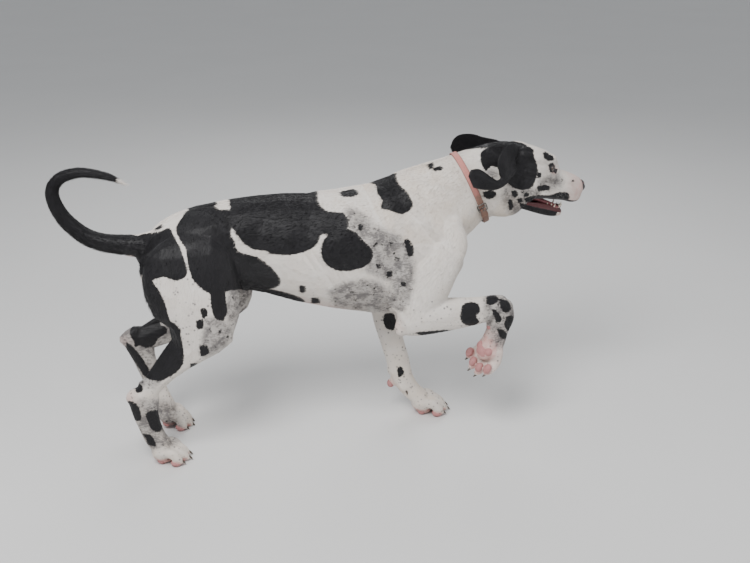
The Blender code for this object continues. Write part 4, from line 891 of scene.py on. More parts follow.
WHISKER_ROWS = [(-0.03, 0.034), (-0.037, 0.036), (-0.044, 0.038), (-0.051, 0.038)]   # z, y
WHISKERS_IN_ROW = 7
WHISKER_STEP = 0.0105


def whisker_roots():
    """Where the whiskers grow on the right side of the muzzle, in the head's own axes."""
    roots = []
    for row, (z, y) in enumerate(WHISKER_ROWS):
        for k in range(WHISKERS_IN_ROW):
            roots.append((0.094 - 0.003 * (row % 2) - WHISKER_STEP * k, -y, z - 0.0012 * k))
    return roots


def subdivided_near(obj, places, reach):
    """Splits the faces near the given places once, for finer folds there."""
    bm = bmesh.new()
    bm.from_mesh(obj.data)
    bm.verts.ensure_lookup_table()
    points = np.array([v.co[:] for v in bm.verts])
    near = np.zeros(len(points), bool)
    for place in places:
        near |= np.linalg.norm(points - np.array(place), axis=1) < reach
    edges = [e for e in bm.edges if near[e.verts[0].index] and near[e.verts[1].index]]
    bmesh.ops.subdivide_edges(bm, edges=edges, cuts=1, use_grid_fill=True, smooth=0.0)
    bmesh.ops.triangulate(bm, faces=[f for f in bm.faces if len(f.verts) > 4])
    bm.to_mesh(obj.data)
    bm.free()


def head_skin():
    """The skin from under the collar to the nose, with the ears, lids, lips and folds."""
    head = head_matrix()
    bm = bmesh.new()
    add_loft(bm, NECK, power=2.1, steps=6, cap=0.3)
    part = bmesh.new()
    add_skull(part)
    add_lips(part)
    add_jaw(part)
    add_ears(part)
    append_mesh(bm, part, head)
    obj = fused("skin_front", bm, HEAD_VOXEL, 2)
    local = carried(points_of(obj), head.inverted())
    ears = ears_distance(points_of(obj))
    flap = (1 - ease(ears, 0.0012, 0.004)) * ease(np.abs(local[:, 1]), 0.046, 0.054)
    weigh(obj, "not_ears", 1 - flap)
    weigh(obj, "neck", (1 - ease(local[:, 0], -0.23, -0.15)) * (1 - flap))
    for name, times, group in (("Soften", 14, "not_ears"), ("Round", 70, "neck")):
        smooth = obj.modifiers.new(name, "SMOOTH")
        smooth.iterations = times
        smooth.vertex_group = group
    bake(obj)
    obj.vertex_groups.clear()
    eyes = [head @ gaze_matrix(s).translation for s in (RIGHT, LEFT)]
    subdivided_near(obj, eyes, 0.024)
    inward = np.array(head.inverted())[:3, :3]
    normals = normals_of(obj) @ inward.T
    local = carried(points_of(obj), head.inverted()) - normals * COAT_DEPTH
    keep_ears = ease(np.abs(local[:, 1]), 0.062, 0.07)
    rise = np.zeros(len(local))
    for line, height, width in HEAD_FOLDS.values():
        for s in (RIGHT, LEFT):
            near = line_distance(local * (1, s, 1), line)
            rise += height * np.exp(-(near / width) ** 2) * (1 - keep_ears)
    for line, height, width in EAR_FOLDS.values():
        near = line_distance(local, line)
        rise += height * np.exp(-(near / width) ** 2)
    for x, y, z in whisker_roots():
        for s in (RIGHT, LEFT):
            near = np.hypot(local[:, 0] - x, local[:, 2] - z)
            rise += 0.0004 * np.exp(-(near / 0.0018) ** 2) * (local[:, 1] * s > 0.015)
    local = open_eyes(local + normals * rise[:, None])
    move_points(obj, carried(local, head))
    fine = np.clip((local[:, 0] + 0.16) / 0.05, 0, 1) * np.clip((0.075 - np.abs(local[:, 1])) / 0.02, 0, 1)
    ears = ears_distance(points_of(obj))
    fine = np.maximum(fine, 0.8 * (ears < 0.006))
    weigh(obj, "thin_out", 1 - 0.75 * fine)
    thin_out(obj, HEAD_TRIANGLES, "thin_out")
    split_long(obj, LONGEST)
    obj.vertex_groups.clear()
    trimmed(obj, COLLAR_AT - COLLAR_FACING * COLLAR_LAP, -COLLAR_FACING)
    return obj


# The camera stands where the picture was taken from, in the drawing's axes
CAMERA_AT = Vector((-0.209, -2.347, 1.38))
CAMERA_DOWN = math.radians(22)
CAMERA_YAW = math.radians(-10)
LENS = 48
SENSOR = 36
IMAGE = (750, 563)
PIXEL = 2.5                # millimetres of dog in one pixel


def pixels(points):
    """Where points of the drawing show in the picture."""
    scale = LENS / SENSOR * IMAGE[0]
    c, s = math.cos(CAMERA_YAW), math.sin(CAMERA_YAW)
    q = points - np.array(CAMERA_AT)
    right = q @ np.array((c, s, 0))
    ahead = q @ np.array((-s, c, 0))
    depth = ahead * math.cos(CAMERA_DOWN) - q[:, 2] * math.sin(CAMERA_DOWN)
    rise = q[:, 2] * math.cos(CAMERA_DOWN) + ahead * math.sin(CAMERA_DOWN)
    return np.stack((IMAGE[0] / 2 + scale * right / depth, IMAGE[1] / 2 - scale * rise / depth), 1)


# Markings are drawn as outlines in the picture's pixels and carried on to the form. On the dog's left side
# they are outlines of its own, drawn as in a mirror. Each says on which parts of the body it lies.
SKINNED = ("trunk", "neck", "tail", "hind")
RIGHT_BLACK = {
    "saddle": (SKINNED, [(231, 212), (230, 200), (231, 176), (260, 172), (300, 170), (317, 174), (318, 199),
                         (325, 210), (335, 212), (344, 213), (349, 222), (346, 231), (335, 236), (322, 234),
                         (318, 243), (311, 249), (297, 254), (280, 255), (262, 252), (249, 247), (240, 239),
                         (234, 228)]),
    "round patch": (SKINNED, [(343, 229), (354, 231), (364, 241), (372, 249), (373, 258), (366, 266),
                              (354, 270),
                              (341, 271), (331, 268), (323, 260), (321, 250), (324, 240), (332, 232)]),
    "loin": (SKINNED, [(190, 206), (194, 180), (213, 176), (214, 198), (218, 209), (231, 211), (236, 230),
                       (236, 248), (246, 254), (258, 257), (272, 268), (281, 280), (277, 287), (262, 290),
                       (246, 289), (228, 291), (210, 293), (202, 289), (193, 280), (188, 265), (186, 250),
                       (180, 240), (176, 230), (180, 220)]),
    "belly strip": (("trunk",), [(238, 285), (262, 288), (281, 291), (302, 298), (303, 304), (274, 299),
                                 (246, 294)]),
    "rump": (SKINNED, [(122, 229), (140, 233), (158, 232), (169, 228), (174, 236), (181, 250), (186, 266),
                       (186, 276), (176, 281), (164, 277), (150, 280), (138, 270), (134, 256), (122, 254)]),
    "rump flecks": (SKINNED, [(152, 226), (160, 223), (163, 227), (156, 230)]),
    "thigh stripe": (("hind",), [(128, 250), (146, 262), (152, 280), (160, 292), (166, 306), (170, 320),
                                 (178, 326), (182, 341), (184, 360), (178, 371), (167, 378), (157, 381),
                                 (140, 372), (124, 330)]),
    "thigh bar": (("hind",), [(210, 290), (224, 290), (226, 300), (227, 313), (222, 321), (215, 318),
                              (211, 306)]),
    "thigh spot 1": (("hind",), [(200, 309), (207, 309), (207, 316), (202, 318)]),
    "thigh spot 2": (("hind",), [(196, 321), (203, 320), (203, 328), (197, 329)]),
    "thigh spot 3": (("hind",), [(199, 346), (207, 346), (209, 353), (201, 356)]),
    "thigh spot 4": (("hind",), [(190, 364), (197, 363), (199, 368), (191, 370)]),
    "thigh spot 5": (("hind",), [(176, 329), (180, 328), (181, 333), (177, 334)]),
    "shin streak": (("hind",), [(205, 361), (214, 357), (226, 350), (227, 355), (214, 364), (207, 366)]),
    "hock": (("hind",), [(126, 402), (134, 402), (140, 410), (141, 420), (134, 420), (127, 412)]),
    "hock spot": (("hind",), [(134, 385), (141, 384), (143, 391), (136, 393)]),
    "metatarsus": (("hind",), [(145, 414), (158, 410), (163, 420), (160, 432), (150, 428)]),
    "metatarsus 2": (("hind",), [(143, 434), (152, 436), (156, 446), (148, 444)]),
    "withers": (SKINNED, [(376, 184), (378, 160), (393, 160), (398, 182), (407, 192), (413, 203), (410, 210),
                          (401, 214), (388, 210), (381, 208), (382, 200), (377, 192)]),
    "back spot": (SKINNED, [(340, 192), (347, 189), (357, 190), (358, 195), (349, 197), (341, 196)]),
    "shoulder spot": (SKINNED, [(404, 240), (410, 240), (414, 248), (413, 256), (407, 254)]),
    "belly spot 1": (("trunk",), [(299, 286), (305, 286), (306, 292), (300, 292)]),
    "belly spot 2": (("trunk",), [(311, 298), (319, 298), (320, 303), (312, 303)]),
    "neck spot 1": (("neck",), [(428, 164), (433, 161), (434, 167), (429, 169)]),
    "neck spot 2": (("neck",), [(433, 168), (442, 166), (442, 170), (434, 171)]),
    "forearm spot": (("fore",), [(462, 306), (470, 302), (478, 304), (480, 311), (476, 316), (479, 322),
                                 (472, 326),
                                 (463, 324), (460, 316)]),
    "forearm strip": (("fore",), [(415, 333), (430, 331), (448, 330), (460, 332), (455, 339), (430, 340)]),
    "wrist 1": (("fore",), [(486, 297), (494, 295), (499, 300), (492, 305), (486, 303)]),
    "wrist 2": (("fore",), [(499, 299), (508, 301), (511, 309), (505, 313), (500, 307)]),
    "wrist 3": (("fore",), [(491, 309), (498, 312), (502, 320), (496, 322)]),
    "wrist 4": (("fore",), [(506, 317), (513, 316), (513, 327), (508, 331), (504, 324)]),
    "wrist 5": (("fore",), [(497, 329), (505, 331), (508, 338), (500, 338)]),
    "fleck 1": (SKINNED, [(358, 225), (363, 225), (363, 230), (359, 230)]),
    "fleck 2": (SKINNED, [(376, 264), (380, 264), (381, 268), (377, 268)]),
    "fleck 3": (SKINNED, [(386, 272), (392, 271), (393, 276), (387, 277)]),
    "fleck 4": (SKINNED, [(400, 282), (405, 282), (406, 286), (401, 286)]),
}
RIGHT_WHITE = {
    "white streak": (SKINNED, [(231, 228), (233, 229), (239, 241), (249, 249), (266, 251), (268, 255),
                               (254, 255), (243, 251), (236, 243), (231, 234)]),
}
LEFT_BLACK = {
    "saddle": (SKINNED, [(231, 212), (230, 200), (231, 176), (300, 172), (320, 196), (334, 216), (330, 232),
                         (312, 246), (286, 244), (262, 252), (240, 240), (232, 222)]),
    "side patch": (SKINNED, [(348, 226), (372, 222), (392, 236), (396, 258), (378, 272), (352, 268),
                             (338, 248)]),
    "loin": (SKINNED, [(190, 206), (196, 180), (214, 180), (219, 214), (224, 240), (244, 262), (250, 280),
                       (226, 292), (202, 286), (186, 262), (184, 226)]),
    "rump": (SKINNED, [(148, 236), (168, 231), (170, 252), (178, 276), (162, 290), (142, 276), (138, 250)]),
    "belly patch": (("trunk",), [(262, 276), (292, 270), (306, 284), (290, 300), (268, 296)]),
    "withers": (SKINNED, [(374, 186), (378, 160), (394, 160), (400, 186), (406, 202), (392, 214),
                          (380, 200)]),
    "shoulder patch": (SKINNED, [(414, 226), (430, 222), (438, 240), (430, 258), (416, 250)]),
    "thigh patch": (("hind",), [(196, 304), (220, 300), (232, 318), (220, 344), (200, 340)]),
    "thigh stripe": (("hind",), [(128, 270), (146, 286), (158, 310), (160, 344), (150, 372), (124, 350)]),
}
# Patches on the far legs, at their true place in the picture
FAR_BLACK = {
    "far forearm": (("fore",), [(384, 314), (393, 313), (396, 322), (393, 330), (386, 328), (383, 320)]),
    "far wrist": (("fore",), [(397, 368), (402, 367), (404, 374), (398, 377)]),
    "far shin": (("hind",), [(134, 334), (150, 326), (164, 326), (167, 333), (154, 340), (142, 345),
                             (134, 346)]),
    "far metatarsus": (("hind",), [(126, 342), (134, 348), (142, 358), (150, 372), (146, 378), (136, 364),
                                   (126, 350)]),
}
MERLE = {
    "behind the shoulder": (SKINNED, [(347, 210), (362, 214), (377, 227), (392, 234), (404, 240), (412, 256),
                                      (415, 268), (412, 290), (405, 306), (398, 298), (390, 282), (376, 274),
                                      (366, 268), (372, 252), (362, 238), (349, 226)]),
    "lower chest": (SKINNED, [(330, 292), (352, 282), (376, 282), (398, 296), (402, 310), (370, 310),
                              (336, 306)]),
    "fold of the flank": (("hind", "trunk"), [(232, 284), (246, 286), (248, 300), (240, 316), (230, 322),
                                              (226, 306)]),
    "lower thigh": (("hind",), [(206, 320), (226, 324), (232, 332), (226, 346), (212, 354), (201, 352)]),
    "far stifle": (("hind",), [(232, 284), (260, 286), (262, 330), (236, 334)]),
    "far leg": (("hind",), [(118, 330), (150, 322), (172, 326), (168, 344), (160, 352), (160, 384),
                            (132, 380)]),
    "pasterns": (("hind",), [(132, 404), (172, 404), (180, 440), (150, 450), (138, 440)]),
    "wrist": (("fore",), [(484, 292), (520, 296), (520, 330), (512, 345), (494, 345), (486, 318)]),
}
HEAD_MERLE = {
    "cheek": [(503, 187), (516, 184), (530, 188), (540, 192), (534, 203), (526, 212), (512, 213), (504, 202)],
    "before the cheek": [(540, 182), (552, 176), (560, 177), (562, 184), (552, 190), (540, 190)],
    "behind the flap": [(488, 172), (495, 171), (498, 178), (490, 180)],
}
HEAD_BLACK = {
    "cap": [(480, 154), (486, 148), (498, 142), (508, 138), (519, 140), (526, 145), (533, 149), (534, 156),
            (537, 164), (538, 172), (536, 179), (532, 187), (524, 190), (512, 187), (505, 180), (500, 170),
            (492, 166), (486, 171), (481, 163)],
    "brow": [(543, 153), (549, 152), (553, 156), (554, 160), (549, 161), (544, 158)],
    "eye": [(548, 165), (553, 163), (555, 168), (554, 172), (550, 172)],
    "under the eye": [(537, 173), (541, 173), (541, 177), (537, 178)],
    "streak": [(537, 187), (543, 185), (549, 186), (549, 190), (543, 191), (538, 191)],
    "lip": [(524, 199), (531, 196), (540, 195), (550, 195), (560, 192), (568, 193), (569, 199), (560, 203),
            (546, 204), (530, 207)],
    "lower lip": [(519, 203), (530, 205), (542, 208), (552, 210), (558, 211), (556, 216), (560, 220),
                  (548, 222),
                  (536, 220), (524, 214)],
    "neck": [(483, 192), (490, 190), (496, 192), (495, 197), (488, 199), (483, 196)],
    "jaw spot 1": [(511, 191), (517, 191), (518, 196), (513, 197)],
    "jaw spot 2": [(508, 201), (512, 200), (513, 208), (509, 210)],
    "jaw spot 3": [(517, 199), (522, 198), (522, 202), (518, 203)],
    "jaw spot 4": [(524, 193), (529, 193), (528, 197), (524, 197)],
    "muzzle fleck 1": [(572, 180), (574, 180), (574, 182), (572, 182)],
}
HEAD_WHITE = {
    "forehead": [(521, 139), (530, 141), (541, 146), (549, 151), (552, 155), (546, 152), (536, 148),
                 (524, 143)],
    "behind the flap": [(487, 172), (494, 168), (498, 171), (501, 180), (498, 183), (490, 179)],
}


def inside_by(places, outline):
    """How far each place lies inside a closed, rounded outline, in pixels. Outside is negative."""
    ring = [*outline[-2:], *outline, *outline[:2]]
    curve = catmull(ring, 4)[8:-8]
    best = np.full(len(places), 1e9)
    within = np.zeros(len(places), bool)
    for a, b in zip(curve, np.roll(curve, -1, axis=0)):
        along = b - a
        t = np.clip((places - a) @ along / max(along @ along, 1e-9), 0, 1)
        best = np.minimum(best, np.linalg.norm(places - a - t[:, None] * along, axis=1))
        crosses = (a[1] > places[:, 1]) != (b[1] > places[:, 1])
        if abs(along[1]) > 1e-9:
            within ^= crosses & (places[:, 0] < a[0] + along[0] * (places[:, 1] - a[1]) / along[1])
    return np.where(within, best, -best)


FAR_OFF = -40.0            # millimetres from any patch


def patch_depth(places, labels, patches):
    """The depth in millimetres inside the nearest of some patches, of those that lie on each part."""
    depth = np.full(len(places), FAR_OFF)
    for parts, outline in patches.values():
        box = np.array(outline, float)
        near = np.isin(labels, parts)
        near &= (places > box.min(0) - 16).all(1) & (places < box.max(0) + 16).all(1)
        if near.any():
            found = inside_by(places[near], outline) * PIXEL
            depth[near] = np.maximum(depth[near], found)
    return depth


def bones():
    """Short lengths along the body: part, from, to, radius, and the way the coat lies."""
    found = []

    def add(label, rows, flip=False, drift=(0, 0, 0), lie=None):
        for a, b in zip(rows, rows[1:]):
            p, q = np.array(a[:3], float), np.array(b[:3], float)
            along = (p - q if flip else q - p) / np.linalg.norm(q - p)
            way = np.array(lie, float) if lie else along + np.array(drift)
            found.append((label, p, q, (np.mean(a[3:6]) + np.mean(b[3:6])) / 2, way))

    add("trunk", [(x, 0, (top + low) / 2, half, half, half) for x, top, low, mid, half in TRUNK],
        lie=(-1, 0, -0.28))
    add("neck", NECK, flip=True, drift=(0, 0, -0.25))
    add("tail", [(x, y, z, r, r, r) for x, y, z, r in TAIL[1:]])
    for label, leg in (("fore_right", FORE_RIGHT), ("fore_left", FORE_LEFT),
                       ("hind_right", HIND_RIGHT), ("hind_left", HIND_LEFT)):
        for name, rows in leg.items():
            part = "trunk" if name == "arm" else label
            add(part, rows, drift=(-0.25, 0, -0.1) if name in ("arm", "thigh") else (0, 0, 0))
    for name in PAWS:
        axes = paw_axes(name)
        for y, reach, spread in TOES:
            line = [axes @ Vector((-0.02, y * 0.8, 0.004)), axes @ Vector((reach, y + spread, -0.014))]
            add(name, [(*line[0], 0.015, 0.015, 0.015), (*line[1], 0.011, 0.011, 0.011)])
    head = head_matrix()
    for rows, flip, up in ((HEAD_CORE, True, 0.1), (THROAT, True, -0.2), (JAW, True, -0.1)):
        placed = [(*(head @ Vector((x, 0, z))), side, up_, down) for x, z, side, up_, down in rows]
        add("head", placed, flip=flip, drift=(0, 0, up))
    for name, rows in (("ear_right", EAR_RIGHT), ("ear_left", EAR_LEFT)):
        add(name, [(*(head @ Vector(r[:3])), 0.012, 0.012, 0.012) for r in rows])
    return found


def survey(points, on_head):
    """The part of the body at each point, and the way the coat lies there."""
    table = bones()
    names = sorted({row[0] for row in table})
    nearest = np.full(len(points), 1e9)
    part = np.zeros(len(points), int)
    lie = np.zeros((len(points), 3))
    for label, a, b, radius, way in table:
        along = b - a
        t = np.clip((points - a) @ along / (along @ along), 0, 1)
        away = np.linalg.norm(points - a - t[:, None] * along, axis=1)
        share = away / radius
        closer = share < nearest
        nearest[closer] = share[closer]
        part[closer] = names.index(label)
        lie += way / (np.maximum(away - 0.8 * radius, 0) + 0.006)[:, None] ** 3
    lie /= np.linalg.norm(lie, axis=1)[:, None]
    found = np.array(names)[part]
    for name, rows, cup in (("ear_right", EAR_RIGHT, EAR_CUP), ("ear_left", EAR_LEFT, -EAR_CUP)):
        found[on_head & (ear_distance(points, rows, cup) < 0.0038)] = name
    return found, lie


TAIL_WHITE = 0.022         # length of the tail's white tip


def tail_depth(points):
    """The depth in millimetres inside the black of the tail, which is black but for its tip."""
    line = catmull([row[:3] for row in TAIL], 6)
    steps = np.linalg.norm(np.diff(line, axis=0), axis=1)
    left = np.concatenate((np.cumsum(steps[::-1])[::-1], [0]))
    nearest = np.argmin(np.linalg.norm(points[:, None, :] - line[None], axis=2), axis=1)
    return (left[nearest] - TAIL_WHITE) * 1000


def mirrored(points, on_head):
    """The same places on the other side: across the head's own middle plane, or the body's."""
    head = head_matrix()
    local = carried(points, head.inverted()) * (1, -1, 1)
    body = points * (1, -1, 1)
    return np.where(on_head[:, None], carried(local, head), body)


def markings(points, labels, on_head):
    """The black and merle attributes that the coat's colours are mixed by."""
    head = head_matrix()
    local = carried(points, head.inverted())
    broad = np.array([label.split("_")[0] for label in labels])
    side_left = np.where(on_head, local[:, 1] > 0, points[:, 1] > 0)
    leg = np.isin(broad, ("fore", "hind"))
    side_left = np.where(leg, np.char.endswith(labels.astype(str), "left"), side_left)
    near = pixels(points)
    seen = pixels(np.where(side_left[:, None], mirrored(points, on_head), points))
    black = patch_depth(seen, np.where(side_left | on_head, "", broad), RIGHT_BLACK)
    white = patch_depth(seen, np.where(side_left | on_head, "", broad), RIGHT_WHITE)
    black = np.minimum(black, -white)
    black = np.maximum(black, patch_depth(seen, np.where(side_left & ~on_head, broad, ""), LEFT_BLACK))
    black = np.maximum(black, patch_depth(near, np.where(side_left & leg, broad, ""), FAR_BLACK))
    face = {name: (("face",), outline) for name, outline in HEAD_BLACK.items()}
    flap = broad == "ear"
    black = np.maximum(black, patch_depth(seen, np.where(on_head, "face", ""), face))
    pale = {name: (("face",), outline) for name, outline in HEAD_WHITE.items()}
    on_face = np.where(on_head & ~flap, "face", "")
    root = np.linalg.norm(local - (-0.128, -0.045, 0.008), axis=1)
    root = np.minimum(root, np.linalg.norm(local - (-0.122, 0.045, 0.01), axis=1))
    black = np.maximum(black, np.where(flap, 12.0, FAR_OFF))
    black = np.maximum(black, np.where(on_head, 24 - root * 1000, FAR_OFF))
    black = np.minimum(black, -patch_depth(seen, on_face, pale))
    black = np.where(broad == "tail", tail_depth(points), black)
    merle = patch_depth(seen, np.where(side_left | on_head, "", broad), MERLE)
    merle = np.maximum(merle, patch_depth(near, np.where(side_left, broad, ""), MERLE))
    mottled = {name: (("face",), outline) for name, outline in HEAD_MERLE.items()}
    merle = np.maximum(merle, patch_depth(seen, on_face, mottled))
    return black, merle


def set_attribute(obj, name, values):
    attribute = obj.data.attributes.new(name, "FLOAT", "POINT")
    attribute.data.foreach_set("value", np.asarray(values, np.float32))


# Materials are built by small helpers on a node tree
class Nodes:
    """A material's node tree, with short calls for the nodes that are used again and again."""

    def __init__(self, name):
        self.material = bpy.data.materials.new(name)
        self.material.use_nodes = True
        self.tree = self.material.node_tree
        self.shader = self.tree.nodes["Principled BSDF"]
        self.where = self.add("ShaderNodeTexCoord").outputs["Object"]

    def add(self, kind, **settings):
        node = self.tree.nodes.new(kind)
        for key, value in settings.items():
            setattr(node, key, value)
        return node

    def put(self, socket, value):
        if isinstance(value, bpy.types.NodeSocket):
            self.tree.links.new(value, socket)
        elif value is not None:
            socket.default_value = (*value, 1) if isinstance(value, tuple) and len(value) == 3 \
                and socket.type == "RGBA" else value

    def attribute(self, name):
        return self.add("ShaderNodeAttribute", attribute_name=name).outputs["Fac"]

    def math(self, operation, a, b=None, c=None, clamp=False):
        node = self.add("ShaderNodeMath", operation=operation, use_clamp=clamp)
        for socket, value in zip(node.inputs, (a, b, c)):
            self.put(socket, value)
        return node.outputs[0]

    def step(self, value, low, high, to_low=0.0, to_high=1.0):
        node = self.add("ShaderNodeMapRange", interpolation_type="SMOOTHSTEP")
        for socket, given in zip(node.inputs, (value, low, high, to_low, to_high)):
            self.put(socket, given)
        return node.outputs[0]

    def mix(self, share, a, b, blend="MIX"):
        node = self.add("ShaderNodeMix", data_type="RGBA", blend_type=blend)
        self.put(node.inputs["Factor"], share)
        self.put(node.inputs["A"], a)
        self.put(node.inputs["B"], b)
        return node.outputs["Result"]

    def blend(self, share, a, b):
        node = self.add("ShaderNodeMix", data_type="FLOAT")
        self.put(node.inputs["Factor"], share)
        self.put(node.inputs["A"], a)
        self.put(node.inputs["B"], b)
        return node.outputs["Result"]

    def stretched(self, turn, scale):
        """The place, turned and then scaled by a different amount along each axis."""
        node = self.add("ShaderNodeMapping", vector_type="TEXTURE")
        self.put(node.inputs["Vector"], self.where)
        node.inputs["Rotation"].default_value = turn
        node.inputs["Scale"].default_value = [1 / s for s in scale]
        return node.outputs[0]

    def noise(self, scale, detail=3.0, rough=0.55, vector=None, out="Fac"):
        node = self.add("ShaderNodeTexNoise")
        self.put(node.inputs["Vector"], vector or self.where)
        node.inputs["Scale"].default_value = scale
        node.inputs["Detail"].default_value = detail
        node.inputs["Roughness"].default_value = rough
        return node.outputs[out]

    def cells(self, scale, vector=None, feature="F1", out="Distance"):
        node = self.add("ShaderNodeTexVoronoi", feature=feature)
        self.put(node.inputs["Vector"], vector or self.where)
        node.inputs["Scale"].default_value = scale
        return node.outputs[out]

    def bump(self, height, distance, strength=1.0, under=None):
        node = self.add("ShaderNodeBump")
        node.inputs["Strength"].default_value = strength
        node.inputs["Distance"].default_value = distance
        self.put(node.inputs["Height"], height)
        if under:
            self.put(node.inputs["Normal"], under)
        return node.outputs[0]

    def set(self, **sockets):
        for name, value in sockets.items():
            self.put(self.shader.inputs[name.replace("_", " ")], value)


WHITE_HAIR = (0.76, 0.725, 0.685)
WHITE_SHADE = (0.56, 0.515, 0.475)
WARM_HAIR = (0.62, 0.5, 0.37)
BLACK_HAIR = (0.0065, 0.0062, 0.0068)
BLACK_SHEEN = (0.014, 0.013, 0.015)
GREY_HAIR = (0.105, 0.097, 0.098)
PINK_SKIN = (0.56, 0.3, 0.27)
DARK_SKIN = (0.02, 0.017, 0.018)
MOUTH_SKIN = (0.12, 0.034, 0.036)


def coat_colours(n):
    """The coat's colour from its markings: white, black, merle grey, ticks and pink skin."""
    ragged = n.noise(190, 4, 0.65)
    hairs = n.noise(1, 2, 0.6, n.stretched((0, 0, 0), (140, 620, 620)))
    edge = n.math("ADD", n.math("MULTIPLY", n.math("SUBTRACT", ragged, 0.5), 8.0),
                  n.math("MULTIPLY", n.math("SUBTRACT", hairs, 0.5), 6.0))
    black = n.step(n.math("ADD", n.attribute("black"), edge), -1.1, 1.1)
    grain = n.noise(1, 4, 0.7, n.stretched((0, 0, 0), (110, 380, 300)))
    cloud = n.math("MULTIPLY", n.noise(40, 3, 0.6), 0.5)
    patchy = n.step(n.math("ADD", cloud, n.math("MULTIPLY", grain, 0.5)), 0.42, 0.58)
    flecks = n.step(n.noise(60, 4, 0.72), 0.6, 0.66)
    merle = n.step(n.math("ADD", n.attribute("merle"), n.math("MULTIPLY", edge, 1.8)), -13.0, 9.0)
    ticking = n.attribute("ticking")
    ticks = n.step(n.cells(92), n.math("MULTIPLY", ticking, 0.46), n.math("MULTIPLY", ticking, 0.18))
    ticks = n.math("MULTIPLY", ticks, n.step(n.noise(44, 2), 0.42, 0.56))
    base = n.mix(n.noise(24, 4, 0.6), WHITE_SHADE, WHITE_HAIR)
    strands = n.noise(240, 2, 0.5, n.stretched((0, 0, 0), (0.3, 1, 1)))
    base = n.mix(n.math("MULTIPLY", strands, 0.35), base, WHITE_HAIR)
    stain = n.step(n.noise(19, 4), 0.3, 0.7, 0.3, 1.0)
    base = n.mix(n.math("MULTIPLY", n.attribute("warm"), stain), base, WARM_HAIR)
    thin = n.math("MULTIPLY", n.attribute("pink"), n.step(n.noise(70, 3), 0.3, 0.62, 0.55, 1.0))
    base = n.mix(thin, base, PINK_SKIN)
    grey = n.mix(patchy, GREY_HAIR, n.mix(0.45, base, GREY_HAIR))
    base = n.mix(n.math("MULTIPLY", merle, 0.88), base, grey)
    base = n.mix(n.math("MULTIPLY", n.math("MULTIPLY", merle, flecks), 0.95), base, BLACK_HAIR)
    base = n.mix(n.math("MULTIPLY", ticks, 0.75), base, GREY_HAIR)
    dark = n.mix(n.noise(60, 3), BLACK_HAIR, BLACK_SHEEN)
    base = n.mix(black, base, dark)
    return base, black


def coat_material(name, on_skin):
    n = Nodes(name)
    colour, black = coat_colours(n)
    rough = n.blend(black, 0.66, 0.5)
    if on_skin:
        bare = n.step(n.attribute("bare"), 0.35, 0.65)
        wet = n.step(n.attribute("wet"), 0.35, 0.65)
        leather = n.mix(n.noise(420, 3), DARK_SKIN, (0.045, 0.038, 0.04))
        colour = n.mix(bare, colour, leather)
        colour = n.mix(wet, colour, n.mix(n.noise(90, 3), MOUTH_SKIN, (0.045, 0.018, 0.02)))
        rough = n.blend(bare, rough, 0.42)
        rough = n.blend(wet, rough, 0.22)
        along = n.noise(1, 3, 0.6, n.stretched((0, 0, 0), (95, 900, 900)))
        down = n.noise(1, 3, 0.6, n.stretched((0, 0, 0), (900, 900, 110)))
        fine = n.blend(n.attribute("upright"), along, down)
        broad = n.blend(n.attribute("upright"), n.noise(1, 2, 0.5, n.stretched((0, 0, 0), (26, 150, 150))),
                        n.noise(1, 2, 0.5, n.stretched((0, 0, 0), (150, 150, 30))))
        hair = n.math("SUBTRACT", 1.0, n.math("MAXIMUM", bare, wet), clamp=True)
        under = n.bump(n.math("MULTIPLY", broad, hair), 0.0016, 0.55)
        normal = n.bump(n.math("MULTIPLY", fine, hair), 0.0007, 0.7, under)
        pores = n.bump(n.math("MULTIPLY", n.cells(900), bare), 0.0003, 0.6, normal)
        n.set(Normal=pores)
    n.set(Base_Color=colour, Roughness=rough)
    n.shader.inputs["Sheen Weight"].default_value = 0.03
    n.shader.inputs["Sheen Roughness"].default_value = 0.45
    n.shader.inputs["Specular IOR Level"].default_value = 0.24
    return n.material


def nose_material():
    n = Nodes("nose_leather")
    pebbles = n.cells(640)
    ragged = n.math("MULTIPLY", n.math("SUBTRACT", n.noise(170, 4), 0.5), 1.6)
    mottle = n.step(n.math("ADD", n.attribute("pink"), ragged), 0.42, 0.6)
    dark = n.mix(n.noise(300, 3), (0.03, 0.026, 0.029), (0.085, 0.072, 0.076))
    colour = n.mix(mottle, dark, n.mix(n.noise(200, 2), (0.5, 0.27, 0.26), (0.36, 0.19, 0.19)))
    # Painted shade: the sunk grooves between the pebbles are darkened nearly to black.
    colour = n.mix(n.step(pebbles, 0.25, 0.62), colour, (0.018, 0.015, 0.016), "MIX")
    n.set(Base_Color=colour, Roughness=n.step(pebbles, 0.1, 0.7, 0.3, 0.52),
          Normal=n.bump(pebbles, -0.00035, 0.9))
    n.shader.inputs["Coat Weight"].default_value = 0.25
    n.shader.inputs["Coat Roughness"].default_value = 0.22
    return n.material


def eye_material():
    """Colours by the angle from the gaze, which the mesh carries: pupil, iris, its dark ring, the white."""
    n = Nodes("eyeball")
    angle = n.attribute("angle")
    spokes = n.noise(1, 3, 0.7, n.stretched((0, 0, 0), (900, 900, 900)))
    iris = n.mix(n.step(n.math("ADD", angle, n.math("MULTIPLY", spokes, 0.16)), 0.32, 0.8),
                 (0.022, 0.01, 0.005), (0.05, 0.022, 0.01))
    white = n.mix(n.noise(420, 3), (0.13, 0.085, 0.07), (0.07, 0.035, 0.03))
    colour = n.mix(n.step(angle, 0.76, 0.86), iris, (0.01, 0.006, 0.005))
    colour = n.mix(n.step(angle, 0.98, 1.12), colour, white)
    colour = n.mix(n.step(angle, 0.3, 0.26), colour, (0.0015, 0.0015, 0.002))
    n.set(Base_Color=colour)
    n.shader.inputs["Roughness"].default_value = 0.1
    n.shader.inputs["Coat Weight"].default_value = 1.0
    n.shader.inputs["Coat Roughness"].default_value = 0.02
    n.shader.inputs["Coat IOR"].default_value = 1.38
    return n.material


